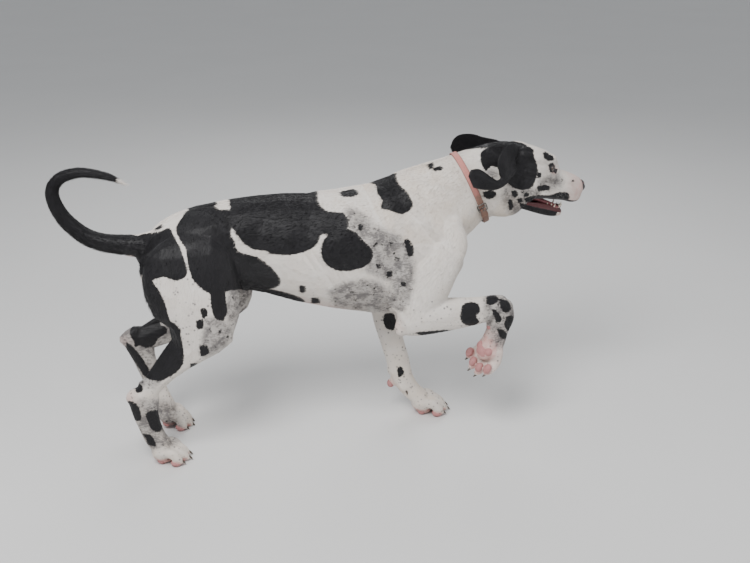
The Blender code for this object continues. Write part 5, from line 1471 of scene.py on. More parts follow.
def flesh_material(name, low, high, rough, scale, depth):
    """Soft, moist or horny matter: two tones in cloudy patches, with a fine grain whose sunk lines are darkened
    as painted shade.
    """
    n = Nodes(name)
    grain = n.cells(scale)
    colour = n.mix(n.noise(scale * 0.14, 4), low, high)
    # Painted shade: the grain's sunk lines are darkened towards the lower tone.
    colour = n.mix(n.math("MULTIPLY", n.step(grain, 0.2, 0.8), 0.3), colour, low)
    n.set(Base_Color=colour, Roughness=n.step(grain, 0.0, 0.8, rough, rough + 0.12),
          Normal=n.bump(grain, -depth, 0.8))
    return n.material


def claw_material():
    n = Nodes("claw_horn")
    streak = n.noise(1, 3, 0.6, n.stretched((0, 0, 0), (200, 900, 500)))
    colour = n.mix(streak, (0.028, 0.022, 0.018), (0.115, 0.088, 0.066))
    n.set(Base_Color=colour, Roughness=n.step(streak, 0.2, 0.8, 0.28, 0.45),
          Normal=n.bump(streak, 0.0002, 0.5))
    return n.material


def strap_material():
    """Worn leather: salmon pink above, turning brown towards the throat, darker along its edges."""
    n = Nodes("strap_leather")
    cloud = n.noise(70, 4, 0.6)
    pink = n.mix(cloud, (0.4, 0.135, 0.115), (0.56, 0.235, 0.2))
    brown = n.mix(cloud, (0.115, 0.058, 0.04), (0.22, 0.12, 0.085))
    # Towards its lowest part, under the throat, the strap turns brown.
    lower_browning = n.step(n.math("ADD", n.attribute("low"), n.math("MULTIPLY", n.math("SUBTRACT", cloud, 0.5), 0.5)),
                  0.35, 0.62)
    colour = n.mix(lower_browning, pink, brown)
    rim = n.step(n.attribute("rim"), 0.72, 0.97)
    colour = n.mix(n.math("MULTIPLY", rim, 0.65), colour, (0.13, 0.055, 0.045))
    grain = n.cells(1500)
    crease = n.noise(260, 4, 0.7)
    colour = n.mix(n.math("MULTIPLY", n.step(crease, 0.56, 0.68), 0.35), colour, (0.1, 0.045, 0.04))
    n.set(Base_Color=colour, Roughness=n.step(crease, 0.3, 0.7, 0.52, 0.68),
          Normal=n.bump(grain, -0.0002, 0.5, n.bump(crease, 0.0004, 0.5)))
    return n.material


def metal_material():
    n = Nodes("buckle_metal")
    wear = n.noise(300, 4, 0.65)
    colour = n.mix(n.step(wear, 0.45, 0.62), (0.06, 0.055, 0.052), (0.26, 0.245, 0.225))
    n.set(Base_Color=colour, Roughness=n.step(wear, 0.3, 0.7, 0.46, 0.28),
          Normal=n.bump(n.noise(900, 2), 0.0001, 0.4))
    n.shader.inputs["Metallic"].default_value = 0.9
    return n.material


def floor_material():
    n = Nodes("pale_floor")
    colour = n.mix(n.noise(1.4, 3), (0.66, 0.655, 0.645), (0.7, 0.695, 0.685))
    n.set(Base_Color=colour, Normal=n.bump(n.noise(60, 3), 0.0006, 0.2))
    n.shader.inputs["Roughness"].default_value = 0.72
    return n.material


def finish_piece(obj, name, material, smooth=True, replaces=()):
    """Names a piece, places it in the frame, and gives it its finish, slot and body."""
    obj.name = name
    obj.data.name = name
    obj.data.transform(PLACE)
    obj.data.materials.clear()
    obj.data.materials.append(material)
    obj.data.polygons.foreach_set("use_smooth", [smooth] * len(obj.data.polygons))
    obj.data.update()
    if replaces:
        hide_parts(*replaces)
    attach(obj, "root")
    return obj


def turned(side, yaw, pitch):
    """The way from an eye's middle at some turns from its gaze."""
    flat = math.cos(pitch)
    return Vector((flat * math.cos(yaw), -side * flat * math.sin(yaw), math.sin(pitch)))


def eyeball(side):
    """The ball with its clear front bulging a little, finer towards the gaze."""
    bm = bmesh.new()
    bmesh.ops.create_uvsphere(bm, u_segments=64, v_segments=48, radius=EYE_RADIUS,
                              matrix=Matrix.Rotation(math.radians(90), 4, "Y"))
    angles = []
    for vert in bm.verts:
        angle = math.acos(max(-1, min(1, vert.co.x / EYE_RADIUS)))
        angles.append(angle)
        vert.co *= 1 + CORNEA_RISE * math.exp(-(angle / CORNEA_TURN) ** 2)
    matrix = head_matrix() @ gaze_matrix(side)
    bmesh.ops.transform(bm, matrix=matrix, verts=bm.verts)
    obj = mesh_object("eye", bm, bpy.context.scene.collection)
    set_attribute(obj, "angle", angles)
    return obj


def tube(bm, centres, radii, sides=8, closed=False, across=UP):
    """Adds a round tube along a line, closed into a ring or with its ends capped."""
    count = len(centres)
    rings = []
    for i, (centre, radius) in enumerate(zip(centres, radii)):
        before = centres[i - 1] if closed or i else centres[0]
        after = centres[(i + 1) % count] if closed or i < count - 1 else centres[-1]
        along = (after - before).normalized()
        s = along.cross(across).normalized()
        u = along.cross(s)
        turns = [2 * math.pi * k / sides for k in range(sides)]
        rings.append([bm.verts.new(centre + (s * math.cos(t) + u * math.sin(t)) * radius) for t in turns])
    pairs = list(zip(rings, rings[1:]))
    if closed:
        pairs.append((rings[-1], rings[0]))
    for a, b in pairs:
        for k in range(sides):
            j = (k + 1) % sides
            bm.faces.new((a[k], a[j], b[j], b[k]))
    if not closed:
        bm.faces.new(rings[0][::-1])
        bm.faces.new(rings[-1])


LID_STEPS = 56
RIM_RADIUS = 0.00105


def lid_rims():
    """The dark, moist rims of the lids, as one ring round each eye."""
    bm = bmesh.new()
    for side in (RIGHT, LEFT):
        matrix = head_matrix() @ gaze_matrix(side)
        centres, radii = [], []
        for k in range(2 * LID_STEPS):
            share = k % LID_STEPS / LID_STEPS
            wave = (1 - math.cos(math.pi * share)) / 2
            yaw = LID_BACK + (LID_FRONT - LID_BACK) * (wave if k < LID_STEPS else 1 - wave)
            top, low = lid_edges(np.array([yaw]))
            pitch = float(top[0] if k < LID_STEPS else low[0])
            out = turned(side, yaw, pitch)
            bulge = 1 + CORNEA_RISE * math.exp(-(out.angle(Vector((1, 0, 0))) / CORNEA_TURN) ** 2)
            centres.append(matrix @ (out * (EYE_RADIUS * bulge + RIM_RADIUS * 0.45)))
            radii.append(RIM_RADIUS * (1.0 if k < LID_STEPS else 1.15))
        tube(bm, centres, radii, 8, True, (matrix.to_3x3() @ Vector((1, 0, 0))))
    return mesh_object("lid_rims", bm, bpy.context.scene.collection)


def tear_corners():
    """The small pink fold in each eye's inner corner."""
    bm = bmesh.new()
    for side in (RIGHT, LEFT):
        yaw = LID_FRONT - 0.16
        pitch = -LID_TILT * yaw - 0.1
        out = turned(side, yaw, pitch)
        turn = out.to_track_quat("X", "Z").to_matrix().to_4x4()
        matrix = head_matrix() @ gaze_matrix(side) @ Matrix.Translation(out * (EYE_RADIUS - 0.0002)) @ turn
        bmesh.ops.create_uvsphere(bm, u_segments=16, v_segments=10, radius=1,
                                  matrix=matrix @ Matrix.Diagonal((0.0011, 0.003, 0.0017, 1)))
    return mesh_object("tear_corners", bm, bpy.context.scene.collection)


def nose_form():
    """The nose leather: its pad, the wings round the nostrils, and the groove's ridge down to the lip."""
    bm = bmesh.new()
    add_blob(bm, (0.1155, 0, -0.0195), (0.0135, 0.0175, 0.0115))
    for s in (RIGHT, LEFT):
        add_blob(bm, (0.1165, s * 0.0105, -0.0265), (0.0125, 0.0105, 0.0115))
        add_spindle(bm, (0.109, s * 0.018, -0.024), (0.121, s * 0.0145, -0.029), 0.0075, 0.0045)
    add_spindle(bm, (0.1205, 0, -0.03), (0.1165, 0, -0.048), 0.0045, 0.0042)
    return bm


NOSE_PINK = [(0.118, -0.012, -0.018), (0.122, -0.004, -0.04), (0.11, 0.012, -0.014)]


def nose():
    """The nose leather with its comma-shaped nostrils and the groove down its middle."""
    obj = fused("nose", nose_form(), 0.0006, 4)
    points = points_of(obj)
    normals = normals_of(obj)
    groove = line_distance(points, [(0.128, 0, -0.018), (0.131, 0, -0.028), (0.125, 0, -0.046),
                                    (0.118, 0, -0.054)])
    sunk = 0.0013 * np.exp(-(groove / 0.0011) ** 2)
    for s in (RIGHT, LEFT):
        round_part = np.linalg.norm((points - (0.1285, s * 0.0088, -0.026)) / (1, 1, 1.05), axis=1)
        slit = line_distance(points, [(0.128, s * 0.011, -0.027), (0.1235, s * 0.0165, -0.0295),
                                      (0.1165, s * 0.02, -0.029)])
        sunk += 0.0062 * (1 - ease(round_part, 0.0026, 0.005))
        sunk += 0.003 * np.exp(-(slit / 0.0013) ** 2) * (round_part > 0.003)
    points = points - normals * sunk[:, None]
    move_points(obj, points)
    smooth = obj.modifiers.new("Settle", "SMOOTH")
    smooth.iterations = 2
    bake(obj)
    points = points_of(obj)
    pink = np.zeros(len(points))
    for x, y, z in NOSE_PINK:
        pink = np.maximum(pink, np.exp(-(np.linalg.norm(points - (x, y, z), axis=1) / 0.006) ** 2))
    obj.data.transform(head_matrix())
    set_attribute(obj, "pink", pink)
    return obj


def tongue():
    rows = [
        (-0.03, 0, -0.086, 0.018, 0.005, 0.006),
        (0.005, 0, -0.087, 0.02, 0.006, 0.006),
        (0.04, 0, -0.09, 0.0175, 0.006, 0.005),
        (0.062, 0, -0.0925, 0.0135, 0.005, 0.004),
    ]
    bm = bmesh.new()
    add_loft(bm, rows, power=2.3, cap=0.6)
    obj = fused("tongue", bm, 0.0009, 4)
    points = points_of(obj)
    middle = np.exp(-(points[:, 1] / 0.0022) ** 2) * (normals_of(obj)[:, 2] > 0.3)
    points[:, 2] -= 0.0016 * middle
    move_points(obj, points)
    obj.data.transform(head_matrix())
    return obj


# Half of the lower gum's line, from the back to the middle of the front
GUM = [
    (0.012, 0.0245, -0.096),
    (0.04, 0.0215, -0.095),
    (0.062, 0.0165, -0.0925),
    (0.0735, 0.0095, -0.0905),
    (0.077, 0.0, -0.09),
]


def gums():
    bm = bmesh.new()
    half = catmull(GUM, 5)
    line = [tuple(p) for p in half] + [(p[0], -p[1], p[2]) for p in half[-2::-1]]
    for a, b in zip(line, line[1:]):
        add_spindle(bm, a, b, 0.0036, 0.003, overrun=0.5)
    obj = fused("gums", bm, 0.0007, 3)
    obj.data.transform(head_matrix())
    return obj


def tooth(bm, base, tip, radius):
    """A pointed tooth as a round tube that bows back and narrows to a blunt tip, its root in the gum."""
    base, tip = Vector(base), Vector(tip)
    back = Vector((-0.12 * (tip - base).length, 0, 0))
    steps = 9
    centres = []
    radii = []
    for k in range(steps + 1):
        t = k / steps
        centres.append(base.lerp(tip, t) - back * math.sin(math.pi * t))
        radii.append(radius * max(0.12, (1 - t) ** 0.55 * (0.86 + 0.14 * math.cos(2 * t))))
    tube(bm, centres, radii, 12, False, ACROSS)


def teeth():
    bm = bmesh.new()
    for s in (RIGHT, LEFT):
        tooth(bm, (0.064, s * 0.015, -0.0935), (0.067, s * 0.0175, -0.076), 0.0034)
        for k, y in enumerate((0.0021, 0.0062, 0.0102)):
            tooth(bm, (0.0765 - 0.0015 * k, s * y, -0.09), (0.0795 - 0.0018 * k, s * y * 1.05, -0.082),
                  0.0019)
        for x, size in ((0.046, 0.0024), (0.035, 0.0029), (0.022, 0.0034)):
            gum = -0.0945 - (0.046 - x) * 0.05
            tooth(bm, (x, s * 0.0212, gum), (x + 0.001, s * 0.0222, gum + 0.009), size)
    bmesh.ops.transform(bm, matrix=head_matrix(), verts=bm.verts)
    return mesh_object("teeth", bm, bpy.context.scene.collection)


CLAW_RADIUS = 0.0037
CLAW_LENGTH = 0.0175
DEW_CLAWS = {
    "right": ((0.5005, -0.0735, 0.299), (0.55, 0.15, -0.8)),
    "left": ((0.295, 0.0255, 0.079), (0.6, -0.15, -0.78)),
}


def claw(bm, matrix, length, radius):
    """One claw along x that curves down and narrows to a worn tip."""
    steps = 10
    centres, radii = [], []
    for k in range(steps + 1):
        t = k / steps
        turn = 0.75 * t
        centres.append(matrix @ Vector((length * math.sin(turn) / 0.75, 0,
                                        -length * (1 - math.cos(turn)) / 0.75)))
        radii.append(radius * (1 - 0.62 * t ** 1.6))
    tube(bm, centres, radii, 12, False, matrix.to_3x3() @ ACROSS)


def claws():
    bm = bmesh.new()
    for name in PAWS:
        for y, reach, spread in TOES:
            down = Matrix.Rotation(math.radians(12), 4, "Y")
            spot = Matrix.Translation((reach - 0.0035, y + spread, -0.0105))
            claw(bm, paw_axes(name) @ spot @ down, CLAW_LENGTH, CLAW_RADIUS)
    for place, way in DEW_CLAWS.values():
        turn = Vector(way).to_track_quat("X", "Z").to_matrix().to_4x4()
        claw(bm, Matrix.Translation(Vector(place)) @ turn, 0.013, 0.003)
    for vert in bm.verts:
        vert.co.z = max(vert.co.z, 0.0002)
    return mesh_object("claws", bm, bpy.context.scene.collection)


# Pads in a paw's own axes: middle and half sizes. The last ones are the large pad's three lobes.
PAD_LOBES = [
    ((0.006, 0, -0.0215), (0.019, 0.022, 0.0125)),
    ((-0.002, 0.0145, -0.0215), (0.0125, 0.0115, 0.0115)),
    ((-0.002, -0.0145, -0.0215), (0.0125, 0.0115, 0.0115)),
]
WRIST_PADS = [((0.486, -0.104, 0.317), (0.0105, 0.01, 0.0125)),
              ((0.259, 0.058, 0.089), (0.0105, 0.01, 0.0125))]


def paw_pads():
    """The bare, rough pads under the toes and palms and behind the wrists, each standing proud of the hair."""
    r = TOE_RADIUS
    pieces = bmesh.new()
    for name in PAWS:
        part = bmesh.new()
        for y, reach, spread in TOES:
            add_blob(part, (reach * 0.72, y + spread, -0.019), (r * 1.12, r * 0.84, r * 0.74))
        for middle, size in PAD_LOBES:
            add_blob(part, middle, size)
        append_mesh(pieces, part, paw_axes(name))
    for middle, size in WRIST_PADS:
        add_blob(pieces, middle, size)
    obj = fused("paw_pads", pieces, 0.0011, 5)
    points = points_of(obj)
    points[:, 2] = np.maximum(points[:, 2], 0.0001)
    move_points(obj, points)
    return obj


def whiskers():
    """Stiff, thin hairs on the muzzle, over the eyes and under the chin."""
    draw = np.random.default_rng(5)
    bm = bmesh.new()
    roots = [(Vector(root), Vector((-0.25, -0.86, -0.3)), 0.03) for root in whisker_roots()]
    roots += [(Vector((-0.006 - 0.004 * k, -0.029, 0.026)), Vector((0.15, -0.62, 0.55)),
               0.017) for k in range(4)]
    roots += [(Vector((0.06 - 0.011 * k, -0.018, -0.119)), Vector((-0.2, -0.35, -0.9)),
               0.014) for k in range(4)]
    head = head_matrix()
    for root, way, length in roots:
        for s in (RIGHT, LEFT):
            flip = Matrix.Diagonal((1, -s, 1, 1))
            reach = length * draw.uniform(0.55, 1.0)
            out = (way + Vector(draw.normal(0, 0.13, 3))).normalized()
            bend = Vector(draw.normal(0, 0.1, 3)) + Vector((-0.12, 0, -0.1))
            steps = 6
            centres, radii = [], []
            for k in range(steps + 1):
                t = k / steps
                centres.append(head @ flip @ (root - out * 0.003 + out * reach * t + bend * reach * t * t))
                radii.append(0.00021 * (1 - 0.8 * t))
            tube(bm, centres, radii, 4, False, UP)
    return mesh_object("whiskers", bm, bpy.context.scene.collection)


BUCKLE_TURN = 0.325        # where the buckle sits, in turns from the top
STRAP_SECTION = [(-0.5, 0.2), (-0.46, 0.0), (0.46, 0.0), (0.5, 0.2), (0.5, 0.8), (0.45, 0.97),
                 (0.2, 1.05), (-0.2, 1.05), (-0.45, 0.97), (-0.5, 0.8)]
TAIL_STEPS = 22            # how far the strap's loose end runs on past the buckle
STITCH_EVERY = 3
STITCH_OFFSET = 0.38


def strap_rows(host, labels):
    """All round the neck: the way out from its middle, and how far out the strap's two edges lie."""
    off_ear = ~np.isin(labels, ("ear_left", "ear_right"))
    faces = [p.vertices[:] for p in host.data.polygons if off_ear[p.vertices[0]]]
    tree = BVHTree.FromPolygons([v.co for v in host.data.vertices], faces)
    up = (UP - UP.dot(COLLAR_FACING) * COLLAR_FACING).normalized()
    side = COLLAR_FACING.cross(up)
    start = 0.25
    reaches = []
    outs = []
    for k in range(STRAP_STEPS):
        turn = 2 * math.pi * k / STRAP_STEPS
        out = up * math.cos(turn) + side * math.sin(turn)
        outs.append(out)
        pair = []
        for offset in (-0.5, 0.5):
            middle = COLLAR_AT + COLLAR_FACING * STRAP_WIDTH * offset
            hit = tree.ray_cast(middle + out * start, -out, start)
            pair.append(start - hit[3])
        reaches.append(pair)
    reaches = np.array(reaches)
    wide = np.max([np.roll(reaches, s, axis=0) for s in range(-3, 4)], axis=0)
    smooth = np.mean([np.roll(wide, s, axis=0) for s in range(-3, 4)], axis=0)
    return outs, smooth + COAT_DEPTH + STRAP_CLEAR


def strap_point(rows, k, across, rise):
    """A place on or over the strap: steps round from the top, share of its width, and height off the coat."""
    outs, reaches = rows
    low = int(math.floor(k)) % STRAP_STEPS
    high = (low + 1) % STRAP_STEPS
    t = k - math.floor(k)
    out = outs[low].lerp(outs[high], t).normalized()
    reach = reaches[low] * (1 - t) + reaches[high] * t
    away = reach[0] + (reach[1] - reach[0]) * (across + 0.5)
    return COLLAR_AT + COLLAR_FACING * STRAP_WIDTH * across + out * (away + rise)


def collar_strap(rows):
    """The leather strap: one closed loop, and its loose end lying over it from the buckle on."""
    bm = bmesh.new()
    low, rim = [], []

    def ring(k, narrow, lift, thick):
        made = []
        for across, height in STRAP_SECTION:
            made.append(bm.verts.new(strap_point(rows, k, across * narrow, lift + height * thick)))
            low.append(0.5 - 0.5 * math.cos(2 * math.pi * k / STRAP_STEPS))
            rim.append(abs(across) * 2)
        return made

    rings = [ring(k, 1.0, 0.0, STRAP_THICKNESS) for k in range(STRAP_STEPS)]
    pairs = list(zip(rings, rings[1:] + rings[:1]))
    start = round(BUCKLE_TURN * STRAP_STEPS) + 1
    end = []
    for i in range(TAIL_STEPS + 1):
        t = i / TAIL_STEPS
        narrow = 0.94 * math.sqrt(max(0.03, 1 - max(0, (t - 0.82) / 0.18) ** 2))
        end.append(ring(start + i, narrow, STRAP_THICKNESS * 1.06 + 0.0004, STRAP_THICKNESS * 0.8))
    pairs += list(zip(end, end[1:]))
    for a, b in pairs:
        for i in range(len(a)):
            j = (i + 1) % len(a)
            bm.faces.new((a[i], a[j], b[j], b[i]))
    bm.faces.new(end[0][::-1])
    bm.faces.new(end[-1])
    obj = mesh_object("strap", bm, bpy.context.scene.collection)
    set_attribute(obj, "low", low)
    set_attribute(obj, "rim", rim)
    return obj


def strap_stitches(rows):
    """Waxed thread in a row along each edge."""
    bm = bmesh.new()
    start = round(BUCKLE_TURN * STRAP_STEPS)
    for k in range(0, STRAP_STEPS, STITCH_EVERY):
        over = (k - start) % STRAP_STEPS
        if over < TAIL_STEPS + 3 or over > STRAP_STEPS - 6:
            continue
        for across in (-STITCH_OFFSET, STITCH_OFFSET):
            half = 0.42 * STITCH_EVERY
            line = [strap_point(rows, (k + half * s) % STRAP_STEPS, across, STRAP_THICKNESS * 1.0 + h)
                    for s, h in ((-0.75, -0.0004), (-0.45, 0.0002), (0, 0.00035), (0.45, 0.0002),
                                 (0.75, -0.0004))]
            tube(bm, line, [0.00022, 0.00038, 0.00042, 0.00038, 0.00022], 6, False, COLLAR_FACING)
    return mesh_object("stitches", bm, bpy.context.scene.collection)


def buckle_axes(rows):
    k = round(BUCKLE_TURN * STRAP_STEPS)
    before, after = strap_point(rows, k - 2, 0, 0), strap_point(rows, k + 2, 0, 0)
    along = (after - before).normalized()
    out = along.cross(COLLAR_FACING).normalized()
    if out.dot(rows[0][k]) < 0:
        out = -out
    turn = Matrix((along, COLLAR_FACING, out)).transposed().to_4x4()
    return Matrix.Translation(strap_point(rows, k, 0, STRAP_THICKNESS + 0.001)) @ turn


FRAME_HALF = (0.0105, 0.0115)   # of the buckle's frame, along and across the strap
FRAME_WIRE = 0.0014


def buckle(rows):
    """A worn frame buckle with its bar and pin."""
    place = buckle_axes(rows)
    bm = bmesh.new()
    corner = 0.004
    line = []
    for sx, sy, first in ((1, 1, 0), (-1, 1, 1), (-1, -1, 2), (1, -1, 3)):
        for k in range(5):
            turn = math.pi / 2 * (first + k / 4)
            line.append(place @ Vector((sx * (FRAME_HALF[0] - corner) + corner * math.cos(turn),
                                        sy * (FRAME_HALF[1] - corner) + corner * math.sin(turn), 0)))
    out = place.to_3x3() @ UP
    tube(bm, line, [FRAME_WIRE] * len(line), 10, True, out)
    bar = [place @ Vector((0, y, -0.0002)) for y in np.linspace(-FRAME_HALF[1], FRAME_HALF[1], 7)]
    tube(bm, bar, [FRAME_WIRE * 0.72] * 7, 8, False, out)
    pin = [place @ Vector((x, 0, 0.0011 + 0.001 * math.sin(math.pi * t)))
           for t, x in zip(np.linspace(0, 1, 8), np.linspace(-0.0015, FRAME_HALF[0] + 0.0012, 8))]
    tube(bm, pin, [0.0011, 0.0011, 0.001, 0.001, 0.001, 0.001, 0.0009, 0.0006], 8, False, out)
    return mesh_object("frame", bm, bpy.context.scene.collection)


def strap_keeper(rows):
    """The leather loop that holds the strap's loose end down."""
    bm = bmesh.new()
    start = round(BUCKLE_TURN * STRAP_STEPS) + 8
    low, rim = [], []
    outline = [(-0.56, -0.0002), (-0.57, 0.004), (-0.5, 0.0068), (0.5, 0.0068), (0.57, 0.004),
               (0.56, -0.0002)]
    rings = []
    for k in (start - 0.9, start - 0.7, start + 0.7, start + 0.9):
        edge = 0.0004 if abs(k - start) > 0.8 else 0.0
        outer = [bm.verts.new(strap_point(rows, k, a, h - edge)) for a, h in outline]
        inner = [bm.verts.new(strap_point(rows, k, a * 0.95, max(h - 0.0012, -0.0003))) for a,
                 h in outline[::-1]]
        rings.append(outer + inner)
        low += [0.8] * 12
        rim += [0.6] * 12
    for a, b in zip(rings, rings[1:]):
        for i in range(12):
            j = (i + 1) % 12
            bm.faces.new((a[i], a[j], b[j], b[i]))
    for ring, flip in ((rings[0], True), (rings[-1], False)):
        for i in range(5):
            quad = (ring[i], ring[i + 1], ring[10 - i], ring[11 - i])
            bm.faces.new(quad[::-1] if flip else quad)
    obj = mesh_object("keeper", bm, bpy.context.scene.collection)
    set_attribute(obj, "low", low)
    set_attribute(obj, "rim", rim)
    return obj


def joined(first, second):
    """One object from two."""
    bm = bmesh.new()
    bm.from_mesh(first.data)
    bm.from_mesh(second.data)
    bm.to_mesh(first.data)
    bm.free()
    bpy.data.objects.remove(second, do_unlink=True)
    return first


def lid_gap(local):
    """How far places on the head lie outside the lids' opening, in metres."""
    best = np.full(len(local), 1.0)
    for side in (RIGHT, LEFT):
        _, r, _, gap, _ = round_eye(local, side, gaze_matrix(side).inverted())
        best = np.where(r < LID_REACH, np.minimum(best, gap * r), best)
    return best


def skin_traits(points, normals, labels, lie, on_head):
    """Where the skin is pink, dark, bare or wet, and where the coat is ticked or stained."""
    local = carried(points, head_matrix().inverted())
    x, y, z = local[:, 0], np.abs(local[:, 1]), local[:, 2]
    broad = np.array([label.split("_")[0] for label in labels])
    lip_edge = [(a, b, c - e) for a, b, c, t, d, e in LIP]
    jaw_edge = [(a, side - 0.003, b + up) for a, b, side, up, down in JAW]
    folded = np.stack((x, y, z), 1)
    lip = line_distance(folded, [(a, b + 0.002, c) for a, b, c in lip_edge])
    jaw = line_distance(folded, jaw_edge)
    lip_y = np.interp(x, [row[0] for row in LIP[::-1]], [row[1] for row in LIP[::-1]])
    inner = on_head & (x > -0.052) & (x < 0.112) & (z > -0.1045) & (z < -0.048) & (y < lip_y - 0.0005)
    bare = np.where(on_head, 1 - ease(np.minimum(lip - 0.0062, jaw - 0.005), -0.001, 0.001), 0)
    gap = np.where(on_head, lid_gap(local), 1.0)
    bare = np.maximum(bare, 1 - ease(gap, 0.0012, 0.0024))
    wet = np.where(inner & (lip > 0.0068), 1.0, 0.0)
    belly = (broad == "trunk") * ease(-normals[:, 2], 0.55, 0.95) * (1 - ease(points[:, 0], 0.05, 0.2))
    pink = 0.42 * belly
    pink = np.maximum(pink, np.where(on_head, 0.5 * ease(x, 0.035, 0.105), 0))
    pink = np.maximum(pink, np.where(on_head, 0.55 * (1 - ease(gap, 0.002, 0.007)), 0))
    for name in PAWS:
        p = carried(points, paw_axes(name).inverted())
        under = (np.linalg.norm(p - (0.015, 0, -0.01), axis=1) < 0.055) * ease(-p[:, 2], 0.006, 0.014)
        pink = np.maximum(pink, 0.85 * under)
    for place, reach, share in PINK_SPOTS:
        pink = np.maximum(pink, share * np.exp(-(np.linalg.norm(points - place, axis=1) / reach) ** 2))
    leg = np.isin(broad, ("fore", "hind"))
    ticking = np.where(leg, 0.74, 0.16) + 0.3 * belly
    ticking = np.where(on_head, 0.35 * ease(-z, 0.06, 0.1), ticking)
    ticking = np.maximum(ticking, (broad == "trunk") * 0.55 * (1 - ease(points[:, 2], 0.42, 0.5)))
    warm = 0.16 + 0.2 * (broad == "neck") + 0.25 * leg * (1 - ease(points[:, 2], 0.05, 0.3))
    warm = np.where(on_head, 0.35 * ease(-z, 0.02, 0.12) + 0.1, warm)
    upright = np.clip(lie[:, 2] ** 2 * 1.6, 0, 1)
    return {"pink": pink, "bare": bare, "wet": wet, "ticking": ticking, "warm": warm, "upright": upright}


# Thin-haired places where pink skin shows: middle, reach, share
PINK_SPOTS = [
    ((0.486, -0.104, 0.285), 0.03, 0.75),
    ((0.492, -0.1, 0.248), 0.045, 0.55),
    ((-0.42, -0.092, 0.19), 0.018, 0.7),
    ((-0.436, 0.085, 0.268), 0.02, 0.6),
    ((0.225, -0.112, 0.345), 0.025, 0.5),
    ((0.205, 0.1, 0.37), 0.025, 0.5),
    ((0.262, 0.058, 0.092), 0.018, 0.6),
]

# The coat's tufts on each part: share of all, length, lift off the skin in turns of a circle, width
COATS = {
    "trunk": (1.0, 0.008, 0.022, 0.00075),
    "neck": (1.3, 0.008, 0.024, 0.0007),
    "tail": (1.6, 0.0085, 0.035, 0.0006),
    "fore": (1.5, 0.0062, 0.022, 0.00058),
    "hind": (1.3, 0.0068, 0.022, 0.00062),
    "head": (3.6, 0.0042, 0.02, 0.00042),
    "ear": (3.2, 0.0038, 0.022, 0.0004),
}
# Longer hair along these lines of the right side and the left: line, reach, length, lift, crowding
FRINGES = {
    "back of the thigh": ([(-0.372, 0.062, 0.54), (-0.362, 0.095, 0.45), (-0.335, 0.104, 0.36)], 0.03,
                          0.0135, 0.05, 3.0),
    "flank fold": ([(-0.132, 0.118, 0.44), (-0.11, 0.095, 0.415), (-0.06, 0.05, 0.405)], 0.024, 0.012, 0.05,
                   3.0),
    "breast": ([(0.392, 0.02, 0.6), (0.37, 0.022, 0.5), (0.31, 0.02, 0.36)], 0.034, 0.0115, 0.045, 2.2),
    "breastbone": ([(0.29, 0.01, 0.345), (0.2, 0.01, 0.338), (0.09, 0.01, 0.362)], 0.028, 0.0105, 0.045, 2.0),
    "crest of the neck": ([(0.3, 0.0, 0.712), (0.38, 0.0, 0.738), (0.44, 0.0, 0.752)], 0.02, 0.01, 0.04, 2.2),
    "back's ridge": ([(0.25, 0.0, 0.7), (0.05, 0.0, 0.66), (-0.28, 0.0, 0.625)], 0.022, 0.0092, 0.036, 1.8),
    "heel tendon": ([(-0.35, 0.092, 0.29), (-0.42, 0.092, 0.225), (-0.425, 0.09, 0.18)], 0.016, 0.0085,
                    0.045, 2.0),
    "throat": ([(0.5, 0.0, 0.585), (0.54, 0.01, 0.585), (0.58, 0.015, 0.58)], 0.03, 0.0085, 0.045, 1.8),
}
TAIL_FRINGE = [(x, y, z - r) for x, y, z, r in TAIL[2:]]
COAT_PIECES = {
    "coat_trunk_right": 34000,
    "coat_trunk_left": 34000,
    "coat_neck": 24000,
    "coat_head": 46000,
    "coat_forelegs": 26000,
    "coat_hindlegs": 30000,
    "coat_tail": 12000,
}
PATCH = 0.003              # size of a tuft's patch on the coat's unwrap


def coat_growth(points, labels):
    """At every point of the skin: crowding, length, lift in radians, and width of the tufts."""
    broad = np.array([label.split("_")[0] for label in labels])
    rows = np.array([COATS[name] for name in broad])
    crowd, length, lift, width = rows[:, 0].copy(), rows[:, 1].copy(), rows[:, 2].copy(), rows[:, 3].copy()
    low = ease(-points[:, 2], -0.16, -0.05) * np.isin(broad, ("fore", "hind"))
    raised = np.linalg.norm(points - np.array(paw_axes("fore_right").translation), axis=1)
    low = np.maximum(low, 1 - ease(raised, 0.06, 0.1))
    length *= 1 - 0.38 * low
    crowd *= 1 + 0.9 * low
    width *= 1 - 0.25 * low
    near_head = ease(carried(points, head_matrix().inverted())[:, 0], -0.24, -0.12)
    length = np.where(broad == "neck", length * (1 - 0.35 * near_head), length)
    folded = points * (1, 0, 1) + np.abs(points) * (0, 1, 0)
    fringes = [*FRINGES.values(), (TAIL_FRINGE, 0.022, 0.0125, 0.055, 1.6)]
    for line, reach, longer, higher, more in fringes:
        share = np.exp(-(line_distance(folded, line) / reach) ** 2) * ~np.isin(broad, ("head", "ear"))
        length = np.maximum(length, longer * share)
        lift = np.maximum(lift, higher * share)
        crowd = crowd * (1 + (more - 1) * share)
    tip = np.exp(-(np.linalg.norm(points - np.array(TAIL[-1][:3]), axis=1) / 0.04) ** 2)
    length = np.maximum(length, 0.017 * tip)
    return crowd, length, lift * 2 * math.pi, width


